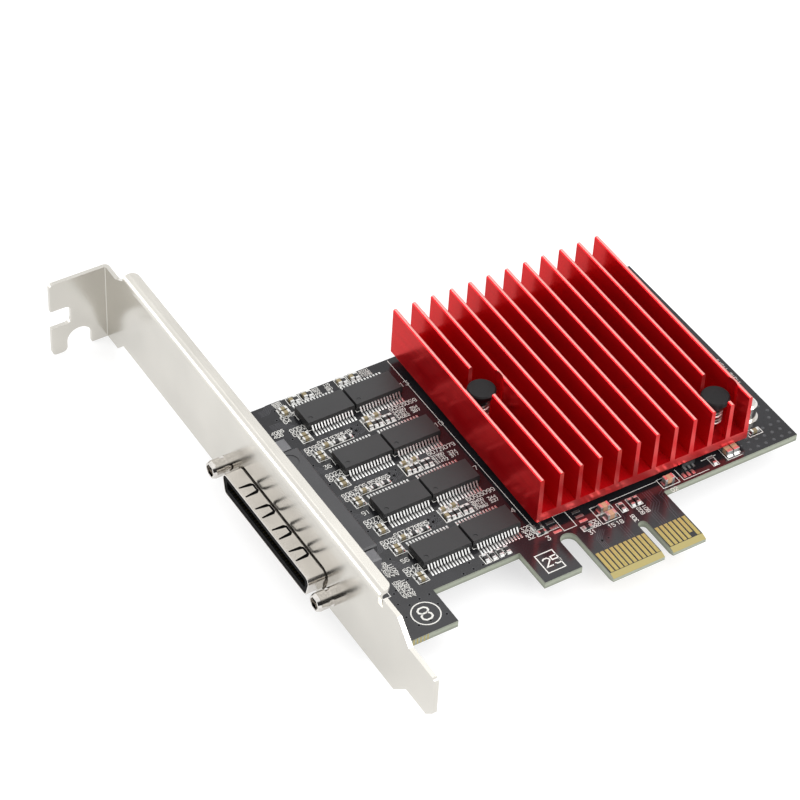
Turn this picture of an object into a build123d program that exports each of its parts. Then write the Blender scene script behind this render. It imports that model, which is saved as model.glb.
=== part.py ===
from build123d import *
import os
from math import cos, radians, sin, tau

# Serial port card: a low expansion card with eight line driver chips, a finned heat sink held by two
# sprung push pins, a tall steel bracket and one wide high density port with two jack posts.
# Sizes are in millimetres. X runs from the bracket's outer face along the card, Y runs up the bracket
# towards its screw tab, and Z points out of the board's component side. The origin lies on the bracket's
# outer face, level with the bottom edge of the edge connector and with the board's component side.

os.makedirs("parts", exist_ok=True)

# Board
board_thickness = 1.57
board_left = 2.1
board_right = 97.0
board_top = 68.6
board_shoulder = 13.35
board_corner = 0.6
front_tab_right = 16.25
front_tab_bottom = 5.0
middle_tab_left = 34.5
middle_tab_right = 42.5
middle_tab_bottom = 5.0
notch_radius = 0.9
tongue_corner = 0.5

# Edge connector, in the standard places about its key notch
key_x = 58.04
key_width = 1.9
key_depth = 9.15
tongue_before_key = 12.15
tongue_after_key = 8.15
bevel_length = 1.2
bevel_depth = 0.4
finger_pitch = 1.0
finger_width = 0.7
finger_thickness = 0.05
finger_bottom = 1.3
finger_top = 6.4
short_finger_bottom = 2.4
short_finger = 5
fingers_before_key = 11
fingers_after_key = 7
key_to_finger = 1.5

# Bracket, one folded steel sheet of the standard full height
sheet = 0.86
bracket_length = 120.02
tab_underside = 106.9
bracket_near = -3.95
bracket_far = 14.47
neck_near = -6.5
neck_far = 11.3
neck_bottom = 102.7
neck_step = 2.5
flange_depth = 2.9
flange_bottom = 6.2
flange_top = 99.7
flange_bend = 1.35
flange_corner = 1.5
flange_relief = 1.5
relief_depth = 2.2
tail_near = -0.05
tail_far = 10.45
tail_shoulder = 0.0
tail_bevel = 2.1
tab_depth = 11.9
tab_bend = 0.15
tab_corner = 0.9
screw_slot_z = 2.5
screw_slot_width = 4.4
screw_slot_depth = 4.3
screw_slot_corner = 1.3
screw_relief_x = -6.05
screw_relief_width = 5.3
screw_relief_depth = 4.9
screw_relief_mouth = 1.1

# Port, a stamped shell round a moulded insulator with two rows of contacts
port_y = 38.5
port_z = 1.5
shell_height = 4.7
shell_top_width = 31.8
shell_bottom_width = 29.4
shell_top_corner = 1.4
shell_bottom_corner = 0.9
shell_wall = 0.25
shell_reach = 3.65
shell_gap = 0.55
shell_flange = 0.8
shell_flange_width = 42.8
shell_flange_height = 6.2
finger_cut_pitch = 6.02
finger_cut_count = 4
finger_cut_span = 2.9
finger_cut_leg = 0.8
finger_cut_tip = 0.35
finger_cut_bar = 0.4
finger_cut_front = 3.25
finger_cut_back = 0.3
finger_cut_corner = 0.5
finger_cut_tip_corner = 0.12
insulator_setback = 0.12
insulator_fit = 0.05
plug_slot_width = 28.2
plug_slot_corner = 0.4
plug_slot_height = 1.9
plug_slot_depth = 3.6
contact_pitch = 0.8
contact_count = 34
contact_width = 0.36
contact_thickness = 0.16
contact_length = 3.3
body_back = 11.2
body_width = 28.4
body_height = 4.2
body_edge = 0.3
ejector_radius = 1.8
ejector_depth = 0.12
ejector_x = 8.0
ejector_y = 49.9
peg_radius = 0.8
peg_gap = 0.06
peg_x = 6.5
peg_spread = 24.0
lug_gap = 0.3
lug_width = 2.9
lug_back = 10.2
pin_rows = 4
pin_pitch = 1.6
pin_row_pitch = 1.27
pin_first_x = 4.4
pin_side = 0.42
pin_reach = 1.1

# Jack posts and the nuts that hold them behind the shell's flange
jack_spread = 37.66
jack_reach = 4.45
jack_head = 1.78
jack_head_length = 2.3
jack_waist = 1.45
jack_waist_length = 0.8
jack_collar = 1.78
jack_nose = 0.25
jack_nose_length = 0.6
jack_socket = 1.28
jack_socket_depth = 1.2
jack_shank = 1.1
jack_shank_gap = 0.1
jack_thread_radius = 0.9
jack_thread_length = 2.4
jack_nut_side = 2.8
jack_nut_width = 3.4
jack_nut_length = 1.8

# Heat sink, an extruded comb that sits turned by a degree on its two pins
sink_turn = -1.0
sink_x = 40.25
sink_y = 16.8
sink_bottom = 1.7
sink_width = 46.6
sink_length = 51.9
sink_base = 2.0
sink_top = 12.3
fin_count = 12
fin_root = 1.0
fin_tip = 0.8
fin_chamfer = 0.22
pocket_radius = 4.05
left_pin_fin = 1
left_pin_y = 27.24
right_pin_fin = 10
right_pin_y = 5.16

# Push pins and their springs
pin_hole = 1.35
pin_shank = 1.1
pin_head = 2.75
pin_head_top = 10.4
pin_head_thickness = 1.0
pin_head_round = 0.25
pin_boss = 1.9
pin_boss_end = 1.5
pin_boss_length = 1.8
pin_barb = 1.75
pin_barb_tip = 0.85
pin_barb_length = 1.9
pin_split = 0.5
spring_radius = 1.65
spring_wire = 0.22
spring_turns = 4
spring_steps = 12
spring_gap = 0.02

# Driver chips, four rows of two
driver_rows = 4
driver_columns = 2
driver_x = 22.35
driver_y = 20.85
driver_row_pitch = 13.58
driver_column_pitch = 10.45
driver_length = 10.2
driver_width = 5.3
driver_height = 1.85
driver_standoff = 0.1
driver_split = 0.95
driver_draft = 8
driver_dimple = 0.45
driver_dimple_depth = 0.08
driver_dimple_inset = 1.15
driver_dimple_sides = 12
driver_leads = 14
driver_lead_pitch = 0.65
driver_lead_width = 0.3
driver_lead_thickness = 0.15
driver_lead_reach = 1.25
driver_lead_foot = 0.65

# Controller chip under the heat sink, with its thermal pad
controller_x = 63.6
controller_y = 42.4
controller_side = 14.0
controller_standoff = 0.1
controller_height = 1.1
controller_leads_a_side = 11
controller_lead_pitch = 1.2
controller_lead_width = 0.45
controller_lead_thickness = 0.2
controller_lead_reach = 1.0

# Crystal, a low can on a rim, partly behind the heat sink
crystal_x = 91.2
crystal_y = 25.1
crystal_length = 11.0
crystal_width = 4.65
crystal_rim = 0.45
crystal_rim_height = 0.5
crystal_height = 4.0
crystal_round = 0.4

# Regulator by the shoulder of the board
regulator_x = 74.0
regulator_y = 17.3
regulator_length = 2.9
regulator_width = 1.6
regulator_height = 1.1
regulator_standoff = 0.1
regulator_lead_pitch = 0.95
regulator_lead_width = 0.4
regulator_lead_reach = 0.6
regulator_lead_thickness = 0.15
regulator_leads_a_side = 3

# Small parts soldered flat on the board
small_length = 1.6
small_width = 0.8
capacitor_height = 0.75
resistor_height = 0.45
bulk_length = 2.0
bulk_width = 1.25
bulk_height = 1.25
pair_x = 15.8
pair_above = 3.85
pair_below = -4.05
pair_pitch = 1.1
strip_x = 18.1
strip_above = 5.8
strip_pitch = 2.3
bank_x = 27.9
bank_below = -7.15
bank_pitch = 1.1
second_bank_x = 31.5
twin_x = 28.1
twin_below = -5.35
twin_pitch = 2.2
top_bank_y = 67.4
top_bank_x = (18.4, 19.5, 21.3, 22.4, 28.9, 30.0, 31.6, 32.7)
foot_bank_y = 15.1
foot_bank_x = (28.4, 29.9, 31.4, 32.9)
edge_resistors = ((59.3, 13.9), (60.5, 13.9), (57.1, 13.7), (78.8, 15.3))
flat_resistors = ((40.8, 17.2), (40.8, 15.7), (48.7, 12.6))
edge_capacitors = ((90.2, 17.8),)
bulk_flat = ((53.9, 15.0), (53.9, 12.8), (68.4, 15.1))
bulk_upright = ((82.4, 15.9), (83.9, 15.9))

# Planes and places that several pieces share
tongue_left = key_x - tongue_before_key
tongue_right = key_x + tongue_after_key
tail_tip = tab_underside + sheet - bracket_length
nut_front = sheet + shell_flange
jack_ys = (port_y - jack_spread / 2, port_y + jack_spread / 2)
row_ys = [driver_y + row * driver_row_pitch for row in range(driver_rows)]
turn_x = (cos(radians(sink_turn)), sin(radians(sink_turn)), 0)
turn_y = (-sin(radians(sink_turn)), cos(radians(sink_turn)), 0)
sink_floor = Plane(origin=(sink_x, sink_y, 0), x_dir=turn_x, z_dir=(0, 0, 1))
sink_end = Plane(origin=(sink_x, sink_y, 0), x_dir=turn_x, z_dir=(-turn_y[0], -turn_y[1], 0))
fin_pitch = (sink_width - fin_root) / (fin_count - 1)
left_pin_x = fin_root / 2 + left_pin_fin * fin_pitch
right_pin_x = fin_root / 2 + right_pin_fin * fin_pitch
pin_places = ((left_pin_x, left_pin_y), (right_pin_x, right_pin_y))
boss_end_z = pin_head_top - pin_head_thickness - pin_boss_length
spring_floor = sink_bottom + sink_base
socket_floor = jack_socket_depth - jack_reach
thread_end = socket_floor + jack_thread_length

# Board with its two lower tabs, the slot beside the tongue, the key notch and the bevelled tongue
with BuildPart() as board:
    with BuildSketch(Plane.XY.offset(-board_thickness)) as outline:
        with Locations(((board_left + board_right) / 2, (board_shoulder + board_top) / 2)):
            Rectangle(board_right - board_left, board_top - board_shoulder)
        with Locations(((board_left + front_tab_right) / 2, (front_tab_bottom + board_shoulder) / 2)):
            Rectangle(front_tab_right - board_left, board_shoulder - front_tab_bottom)
        with Locations(((middle_tab_left + middle_tab_right) / 2, (middle_tab_bottom + board_shoulder) / 2)):
            Rectangle(middle_tab_right - middle_tab_left, board_shoulder - middle_tab_bottom)
        with Locations(((tongue_left + tongue_right) / 2, board_shoulder / 2)):
            Rectangle(tongue_right - tongue_left, board_shoulder)
        shoulder_corners = outline.vertices().filter_by(lambda v: abs(v.Y - board_shoulder) < 0.01)
        slot_corners = shoulder_corners.filter_by_position(Axis.X, middle_tab_right, tongue_left)
        wide_corners = shoulder_corners.filter_by_position(Axis.X, front_tab_right, middle_tab_left)
        tongue_root = shoulder_corners.filter_by_position(Axis.X, tongue_right, tongue_right)
        outer_corners = outline.vertices().filter_by(lambda v: abs(v.X - board_right) < 0.01)
        tongue_tips = outline.vertices().filter_by(lambda v: abs(v.Y) < 0.01)
        fillet(slot_corners, (tongue_left - middle_tab_right) / 2 - 0.02)
        fillet(wide_corners + tongue_root, notch_radius)
        fillet(outer_corners, board_corner)
        fillet(tongue_tips, tongue_corner)
        with Locations((key_x, (key_depth - key_width / 2) / 2)):
            Rectangle(key_width, key_depth - key_width / 2, mode=Mode.SUBTRACT)
        with Locations((key_x, key_depth - key_width / 2)):
            Circle(key_width / 2, mode=Mode.SUBTRACT)
    extrude(amount=board_thickness)
    with BuildSketch(Plane.YZ.offset(tongue_left - 1)):
        Polygon((0, 0), (bevel_length, 0), (0, -bevel_depth), align=None)
        Polygon(
            (0, -board_thickness),
            (0, bevel_depth - board_thickness),
            (bevel_length, -board_thickness),
            align=None,
        )
    extrude(amount=tongue_right - tongue_left + 2, mode=Mode.SUBTRACT)
    with Locations(sink_floor):
        with Locations(*pin_places):
            Hole(pin_hole)
    with Locations((peg_x, port_y - peg_spread / 2), (peg_x, port_y + peg_spread / 2)):
        Hole(peg_radius + peg_gap)
board.part.label = "board"
export_step(board.part, "parts/board.step")

# Gold edge contacts, one strip for each finger, on both faces of the tongue
first_finger = key_x - key_to_finger - (fingers_before_key - 1) * finger_pitch
fingers = [first_finger + n * finger_pitch for n in range(fingers_before_key)]
fingers += [key_x + key_to_finger + n * finger_pitch for n in range(fingers_after_key)]
short_x = key_x + key_to_finger + short_finger * finger_pitch
for side, face in (("component", 0.0), ("solder", -board_thickness - finger_thickness)):
    with BuildPart() as edge_contacts:
        with BuildSketch(Plane.XY.offset(face)):
            for x in fingers:
                foot = short_finger_bottom if abs(x - short_x) < finger_pitch / 2 else finger_bottom
                with Locations((x, (foot + finger_top) / 2)):
                    Rectangle(finger_width, finger_top - foot)
        extrude(amount=finger_thickness)
    edge_contacts.part.label = f"edge_contacts_{side}_side"
    export_step(edge_contacts.part, f"parts/edge_contacts_{side}_side.step")

# Outline that the shell, the insulator and the hole in the bracket share, grown or shrunk by a margin
port_bottom = port_z - shell_height / 2
port_top = port_z + shell_height / 2


def port_outline(margin):
    with BuildSketch() as shape:
        with BuildLine():
            Polyline(
                (port_y - shell_bottom_width / 2, port_bottom),
                (port_y + shell_bottom_width / 2, port_bottom),
                (port_y + shell_top_width / 2, port_top),
                (port_y - shell_top_width / 2, port_top),
                close=True,
            )
        make_face()
        fillet(shape.vertices().group_by(Axis.Y)[-1], shell_top_corner)
        fillet(shape.vertices().group_by(Axis.Y)[0], shell_bottom_corner)
        if margin:
            offset(amount=margin)
    return shape.sketch


bracket_hole = port_outline(shell_gap)
shell_outside = port_outline(0)
shell_inside = port_outline(-shell_wall)
insulator_outside = port_outline(-shell_wall - insulator_fit)

# Bracket: a flat plate with a narrowed tail, a neck, a folded flange and the screw tab bent outwards
with BuildPart() as bracket:
    with BuildSketch(Plane.YZ) as plate:
        with BuildLine():
            Polyline(
                (tail_tip, tail_near + tail_bevel),
                (tail_tip + tail_bevel, tail_near),
                (tail_shoulder - tail_near + bracket_near, tail_near),
                (tail_shoulder, bracket_near),
                (neck_bottom - neck_step, bracket_near),
                (neck_bottom - neck_step + bracket_near - neck_near, neck_near),
                (tab_underside - tab_bend, neck_near),
                (tab_underside - tab_bend, neck_far),
                (neck_bottom, neck_far),
                (flange_top, bracket_far - flange_bend),
                (flange_bottom, bracket_far - flange_bend),
                (flange_bottom, bracket_far - relief_depth),
                (flange_bottom - flange_relief, bracket_far - relief_depth),
                (flange_bottom - flange_relief, bracket_far),
                (tail_shoulder, bracket_far),
                (tail_shoulder + tail_far - bracket_far, tail_far),
                (tail_tip, tail_far),
                close=True,
            )
        make_face()
        fillet(plate.vertices().group_by(Axis.X)[0], tab_corner)
        add(bracket_hole, mode=Mode.SUBTRACT)
        with Locations(*[(y, port_z) for y in jack_ys]):
            Circle(jack_shank + jack_shank_gap, mode=Mode.SUBTRACT)
    extrude(amount=sheet)
    with BuildSketch(Plane.XZ.offset(-flange_bottom)):
        with BuildLine():
            Line((0, bracket_far - flange_bend), (sheet, bracket_far - flange_bend))
            RadiusArc(
                (sheet, bracket_far - flange_bend),
                (flange_bend, bracket_far - sheet),
                flange_bend - sheet,
            )
            Line((flange_bend, bracket_far - sheet), (flange_depth, bracket_far - sheet))
            Line((flange_depth, bracket_far - sheet), (flange_depth, bracket_far))
            Line((flange_depth, bracket_far), (flange_bend, bracket_far))
            RadiusArc((flange_bend, bracket_far), (0, bracket_far - flange_bend), -flange_bend)
        make_face()
    extrude(amount=flange_bottom - flange_top)
    flange_ends = bracket.edges().filter_by(Axis.Z).filter_by_position(Axis.X, flange_depth, flange_depth)
    fillet(flange_ends, flange_corner)
    with BuildSketch(Plane.XY.offset(neck_near)):
        with BuildLine():
            Line((0, tab_underside - tab_bend), (sheet, tab_underside - tab_bend))
            RadiusArc(
                (sheet, tab_underside - tab_bend),
                (-tab_bend, tab_underside + sheet),
                -tab_bend - sheet,
            )
            Line((-tab_bend, tab_underside + sheet), (-tab_depth, tab_underside + sheet))
            Line((-tab_depth, tab_underside + sheet), (-tab_depth, tab_underside))
            Line((-tab_depth, tab_underside), (-tab_bend, tab_underside))
            RadiusArc((-tab_bend, tab_underside), (0, tab_underside - tab_bend), tab_bend)
        make_face()
    extrude(amount=neck_far - neck_near)
    tab_ends = bracket.edges().filter_by(Axis.Y).filter_by_position(Axis.X, -tab_depth, -tab_depth)
    fillet(tab_ends, tab_corner)
    with BuildSketch(Plane.XZ.offset(-tab_underside - 2 * sheet)) as tab_cuts:
        with Locations((-tab_depth, screw_slot_z)):
            RectangleRounded(2 * screw_slot_depth, screw_slot_width, screw_slot_corner)
        with Locations((screw_relief_x, neck_near)):
            SlotOverall(2 * screw_relief_depth, screw_relief_width, rotation=90)
    extrude(amount=3 * sheet, mode=Mode.SUBTRACT)
    relief_mouth = (
        bracket.edges()
        .filter_by(Axis.Y)
        .filter_by_position(Axis.Z, neck_near, neck_near)
        .filter_by_position(Axis.X, screw_relief_x - screw_relief_width, screw_relief_x)
    )
    fillet(relief_mouth, screw_relief_mouth)
bracket.part.label = "bracket"
export_step(bracket.part, "parts/bracket.step")

# Port shell: a drawn tube with tapered spring fingers cut in its top and bottom, on a flat flange
with BuildPart() as port_shell:
    with BuildSketch(Plane.YZ.offset(sheet)):
        with Locations((port_y, port_z)):
            Rectangle(shell_flange_width, shell_flange_height)
        with Locations(*[(y, port_z) for y in jack_ys]):
            Circle(jack_shank + jack_shank_gap, mode=Mode.SUBTRACT)
    extrude(amount=shell_flange)
    with BuildSketch(Plane.YZ.offset(-shell_reach)):
        add(shell_outside)
    extrude(amount=shell_reach + sheet)
    with BuildSketch(Plane.YZ.offset(-shell_reach)):
        add(shell_inside)
    extrude(amount=shell_reach + nut_front, mode=Mode.SUBTRACT)
    with BuildSketch(Plane.XY.offset(port_bottom - 1)) as cuts:
        for n in range(finger_cut_count):
            y = port_y + (n - (finger_cut_count - 1) / 2) * finger_cut_pitch
            half = finger_cut_span / 2
            Polygon(
                (-finger_cut_back, y - half),
                (-finger_cut_back, y + half),
                (-finger_cut_front, y + half),
                (-finger_cut_front, y + half - finger_cut_tip),
                (-finger_cut_back - finger_cut_bar, y + half - finger_cut_leg),
                (-finger_cut_back - finger_cut_bar, y - half + finger_cut_leg),
                (-finger_cut_front, y - half + finger_cut_tip),
                (-finger_cut_front, y - half),
                align=None,
            )
        chamfer(cuts.vertices().group_by(Axis.X)[-1], finger_cut_corner)
        chamfer(cuts.vertices().group_by(Axis.X)[0], finger_cut_tip_corner)
    extrude(amount=shell_height + 2, mode=Mode.SUBTRACT)
port_shell.part.label = "port_shell"
export_step(port_shell.part, "parts/port_shell.step")

# Insulator inside the shell, with the long slot that the plug's blade enters
with BuildPart() as port_insulator:
    with BuildSketch(Plane.YZ.offset(insulator_setback - shell_reach)):
        add(insulator_outside)
    extrude(amount=shell_reach - insulator_setback + nut_front)
    with BuildSketch(Plane.YZ.offset(insulator_setback - shell_reach)):
        with Locations((port_y, port_z)):
            RectangleRounded(plug_slot_width, plug_slot_height, plug_slot_corner)
    extrude(amount=plug_slot_depth, mode=Mode.SUBTRACT)
port_insulator.part.label = "port_insulator"
export_step(port_insulator.part, "parts/port_insulator.step")

# Contact springs on both walls of the slot
contact_start = insulator_setback - shell_reach + (plug_slot_depth - contact_length)
contact_ys = [port_y + (n - (contact_count - 1) / 2) * contact_pitch for n in range(contact_count)]
contact_z = (plug_slot_height - contact_thickness) / 2
with BuildPart() as port_contacts:
    with BuildSketch(Plane.YZ.offset(contact_start)):
        with Locations(*[(y, port_z + side * contact_z) for y in contact_ys for side in (-1, 1)]):
            Rectangle(contact_width, contact_thickness)
    extrude(amount=contact_length)
port_contacts.part.label = "port_contacts"
export_step(port_contacts.part, "parts/port_contacts.step")

# Rear housing of the port on the board, with an ejector mark on top and two pegs through the board
with BuildPart() as port_body:
    with BuildSketch(Plane.XY):
        with Locations(((nut_front + body_back) / 2, port_y)):
            Rectangle(body_back - nut_front, body_width)
    extrude(amount=body_height)
    chamfer(port_body.faces().sort_by(Axis.Z)[-1].edges(), body_edge)
    with BuildSketch(Plane.XY.offset(body_height)):
        with Locations((ejector_x, ejector_y)):
            Circle(ejector_radius)
    extrude(amount=-ejector_depth, mode=Mode.SUBTRACT)
    with BuildSketch(Plane.XY):
        with Locations((peg_x, port_y - peg_spread / 2), (peg_x, port_y + peg_spread / 2)):
            Circle(peg_radius)
    extrude(amount=-board_thickness)
port_body.part.label = "port_body"
export_step(port_body.part, "parts/port_body.step")

# Metal lugs at each end of the housing
lug_front = nut_front + jack_nut_length + lug_gap
for end, side in (("lower", -1), ("upper", 1)):
    with BuildPart() as port_lug:
        with BuildSketch(Plane.XY):
            lug_y = port_y + side * (body_width / 2 + lug_gap + lug_width / 2)
            with Locations(((lug_front + lug_back) / 2, lug_y)):
                Rectangle(lug_back - lug_front, lug_width)
        extrude(amount=body_height)
        chamfer(port_lug.faces().sort_by(Axis.Z)[-1].edges(), body_edge)
    port_lug.part.label = f"port_lug_{end}"
    export_step(port_lug.part, f"parts/port_lug_{end}.step")

# Port pins, the soldered ends that stand out of the board's solder side in staggered rows
pins_a_row = 2 * contact_count // pin_rows
with BuildPart() as port_pins:
    with BuildSketch(Plane.XY.offset(-board_thickness)):
        for row in range(pin_rows):
            stagger = (row % 2 - 0.5) * contact_pitch
            for n in range(pins_a_row):
                y = port_y + (n - (pins_a_row - 1) / 2) * pin_pitch + stagger
                with Locations((pin_first_x + row * pin_row_pitch, y)):
                    Rectangle(pin_side, pin_side)
    extrude(amount=-pin_reach)
port_pins.part.label = "port_pins"
export_step(port_pins.part, "parts/port_pins.step")

# Jack posts: a turned head, a waist and a collar against the bracket, with a hexagon socket in front
# and a threaded hole at the socket's floor
for end, y in (("lower", jack_ys[0]), ("upper", jack_ys[1])):
    collar_x = -(jack_reach - jack_head_length - jack_waist_length)
    with BuildPart() as jack_post:
        with BuildSketch(Plane.XY.offset(port_z)):
            with BuildLine():
                Polyline(
                    (-jack_reach, y),
                    (-jack_reach, y + jack_head - jack_nose),
                    (jack_nose_length - jack_reach, y + jack_head),
                    (jack_head_length - jack_reach, y + jack_head),
                    (jack_head_length - jack_reach, y + jack_waist),
                    (collar_x, y + jack_waist),
                    (collar_x, y + jack_collar),
                    (0, y + jack_collar),
                    (0, y + jack_shank),
                    (nut_front + jack_nut_length, y + jack_shank),
                    (nut_front + jack_nut_length, y),
                    close=True,
                )
            make_face()
        revolve(axis=Axis((0, y, port_z), (1, 0, 0)))
        with BuildSketch(Plane.YZ.offset(-jack_reach)):
            with Locations((y, port_z)):
                RegularPolygon(jack_socket, 6)
        extrude(amount=jack_socket_depth, mode=Mode.SUBTRACT)
        with BuildSketch(Plane.YZ.offset(socket_floor)):
            with Locations((y, port_z)):
                Circle(jack_thread_radius)
        extrude(amount=thread_end - socket_floor, mode=Mode.SUBTRACT)
    jack_post.part.label = f"jack_post_{end}"
    export_step(jack_post.part, f"parts/jack_post_{end}.step")

# Nuts pressed on the back of the flange, which the posts screw into
with BuildPart() as jack_nuts:
    with BuildSketch(Plane.YZ.offset(nut_front)):
        with Locations(*[(y, port_z) for y in jack_ys]):
            Rectangle(jack_nut_width, jack_nut_side)
            Circle(jack_shank, mode=Mode.SUBTRACT)
    extrude(amount=jack_nut_length)
jack_nuts.part.label = "jack_nuts"
export_step(jack_nuts.part, "parts/jack_nuts.step")

# Heat sink: one extruded comb, with a round pocket milled through the fins for each push pin
with BuildPart() as heatsink:
    with BuildSketch(sink_end):
        with Locations((sink_width / 2, sink_bottom + sink_base / 2)):
            Rectangle(sink_width, sink_base)
        for n in range(fin_count):
            middle = fin_root / 2 + n * fin_pitch
            Polygon(
                (middle - fin_root / 2, sink_bottom + sink_base),
                (middle + fin_root / 2, sink_bottom + sink_base),
                (middle + fin_tip / 2, sink_top - fin_chamfer),
                (middle + fin_tip / 2 - fin_chamfer, sink_top),
                (middle - fin_tip / 2 + fin_chamfer, sink_top),
                (middle - fin_tip / 2, sink_top - fin_chamfer),
                align=None,
            )
    extrude(amount=-sink_length)
    with BuildSketch(sink_floor.offset(spring_floor)):
        with Locations(*pin_places):
            Circle(pocket_radius)
    extrude(amount=sink_top, mode=Mode.SUBTRACT)
    with BuildSketch(sink_floor):
        with Locations(*pin_places):
            Circle(pin_hole)
    extrude(amount=sink_top, mode=Mode.SUBTRACT)
heatsink.part.label = "heatsink"
export_step(heatsink.part, "parts/heatsink.step")

# Push pins with a flat head, a tapered boss, a shank and a split barb, each with a coil spring
for side, (x, y) in (("left", pin_places[0]), ("right", pin_places[1])):
    foot = sink_floor.from_local_coords(Vector(x, y, 0))
    pin_plane = Plane(origin=foot, x_dir=turn_x, z_dir=(-turn_y[0], -turn_y[1], 0))
    with BuildPart() as push_pin:
        with BuildSketch(pin_plane):
            with BuildLine():
                Polyline(
                    (0, pin_head_top),
                    (pin_head - pin_head_round, pin_head_top),
                    (pin_head, pin_head_top - pin_head_round),
                    (pin_head, pin_head_top - pin_head_thickness),
                    (pin_boss, pin_head_top - pin_head_thickness),
                    (pin_boss_end, boss_end_z),
                    (pin_shank, boss_end_z),
                    (pin_shank, -board_thickness),
                    (pin_barb, -board_thickness),
                    (pin_barb_tip, -board_thickness - pin_barb_length),
                    (0, -board_thickness - pin_barb_length),
                    close=True,
                )
            make_face()
        revolve(axis=Axis(foot, (0, 0, 1)))
        with BuildSketch(pin_plane.offset(-pin_head)):
            with Locations((0, -board_thickness - pin_barb_length)):
                Rectangle(pin_split, 2 * (board_thickness + pin_barb_length))
        extrude(amount=2 * pin_head, mode=Mode.SUBTRACT)
    push_pin.part.label = f"push_pin_{side}"
    export_step(push_pin.part, f"parts/push_pin_{side}.step")

    coil_floor = foot.Z + spring_floor + spring_wire + spring_gap
    coil_height = boss_end_z - spring_floor - 2 * (spring_wire + spring_gap)
    coil_steps = spring_turns * spring_steps
    coil_points = [
        (
            foot.X + spring_radius * cos(tau * n / spring_steps),
            foot.Y + spring_radius * sin(tau * n / spring_steps),
            coil_floor + coil_height * n / coil_steps,
        )
        for n in range(coil_steps + 1)
    ]
    with BuildPart() as pin_spring:
        with BuildLine() as coil:
            Polyline(*coil_points)
        with BuildSketch(Plane(origin=coil.line @ 0, z_dir=coil.line % 0)):
            RegularPolygon(spring_wire, 6)
        sweep(transition=Transition.RIGHT)
    pin_spring.part.label = f"pin_spring_{side}"
    export_step(pin_spring.part, f"parts/pin_spring_{side}.step")

# Driver chips: a drafted moulded body with a dimple by pin one, its bent leads in a node of their own
number = 0
for row_y in row_ys:
    for column in range(driver_columns):
        number += 1
        chip_x = driver_x + column * driver_column_pitch
        with BuildPart() as driver_chip:
            with BuildSketch(Plane.XY.offset(driver_split)):
                with Locations((chip_x, row_y)):
                    Rectangle(driver_length, driver_width)
            extrude(amount=driver_height - driver_split, taper=driver_draft)
            with BuildSketch(-Plane.XY.offset(driver_split)):
                with Locations((chip_x, -row_y)):
                    Rectangle(driver_length, driver_width)
            extrude(amount=driver_split - driver_standoff, taper=driver_draft)
            with BuildSketch(Plane.XY.offset(driver_height)):
                dimple_x = chip_x - driver_length / 2 + driver_dimple_inset
                with Locations((dimple_x, row_y - driver_width / 2 + driver_dimple_inset)):
                    RegularPolygon(driver_dimple, driver_dimple_sides)
            extrude(amount=-driver_dimple_depth, mode=Mode.SUBTRACT)
        driver_chip.part.label = f"driver_chip_{number}"
        export_step(driver_chip.part, f"parts/driver_chip_{number}.step")

        with BuildPart() as driver_lead_set:
            for n in range(driver_leads):
                lead_x = chip_x + (n - (driver_leads - 1) / 2) * driver_lead_pitch
                with BuildSketch(Plane.YZ.offset(lead_x - driver_lead_width / 2)):
                    for side in (-1, 1):
                        root = row_y + side * driver_width / 2
                        bend = driver_lead_reach - driver_lead_foot
                        Polygon(
                            (root, driver_split + driver_lead_thickness / 2),
                            (root + side * bend, driver_lead_thickness),
                            (root + side * driver_lead_reach, driver_lead_thickness),
                            (root + side * driver_lead_reach, 0),
                            (root + side * (bend - driver_lead_thickness), 0),
                            (root, driver_split - driver_lead_thickness),
                            align=None,
                        )
                extrude(amount=driver_lead_width)
        driver_lead_set.part.label = f"driver_leads_{number}"
        export_step(driver_lead_set.part, f"parts/driver_leads_{number}.step")

# Controller chip, its leads and the soft pad that carries heat into the sink
with BuildPart() as controller_chip:
    with BuildSketch(Plane.XY.offset(controller_standoff)):
        with Locations((controller_x, controller_y)):
            Rectangle(controller_side, controller_side)
    extrude(amount=controller_height - controller_standoff)
    chamfer(controller_chip.faces().sort_by(Axis.Z)[-1].edges(), controller_standoff)
controller_chip.part.label = "controller_chip"
export_step(controller_chip.part, "parts/controller_chip.step")

with BuildPart() as controller_leads:
    with BuildSketch(Plane.XY):
        for n in range(controller_leads_a_side):
            along = (n - (controller_leads_a_side - 1) / 2) * controller_lead_pitch
            out = controller_side / 2 + controller_lead_reach / 2
            for side in (-1, 1):
                with Locations((controller_x + along, controller_y + side * out)):
                    Rectangle(controller_lead_width, controller_lead_reach)
                with Locations((controller_x + side * out, controller_y + along)):
                    Rectangle(controller_lead_reach, controller_lead_width)
    extrude(amount=controller_lead_thickness)
controller_leads.part.label = "controller_leads"
export_step(controller_leads.part, "parts/controller_leads.step")

with BuildPart() as thermal_pad:
    with BuildSketch(Plane.XY.offset(controller_height)):
        with Locations((controller_x, controller_y)):
            Rectangle(controller_side, controller_side)
    extrude(amount=sink_bottom - controller_height)
thermal_pad.part.label = "thermal_pad"
export_step(thermal_pad.part, "parts/thermal_pad.step")

# Crystal: a drawn can with round ends on a flat rim
with BuildPart() as crystal:
    with BuildSketch(Plane.XY):
        with Locations((crystal_x, crystal_y)):
            SlotOverall(crystal_length, crystal_width, rotation=90)
    extrude(amount=crystal_rim_height)
    with BuildSketch(Plane.XY.offset(crystal_rim_height)):
        with Locations((crystal_x, crystal_y)):
            SlotOverall(crystal_length - 2 * crystal_rim, crystal_width - 2 * crystal_rim, rotation=90)
    extrude(amount=crystal_height - crystal_rim_height)
    chamfer(crystal.faces().sort_by(Axis.Z)[-1].edges(), crystal_round)
crystal.part.label = "crystal"
export_step(crystal.part, "parts/crystal.step")

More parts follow.
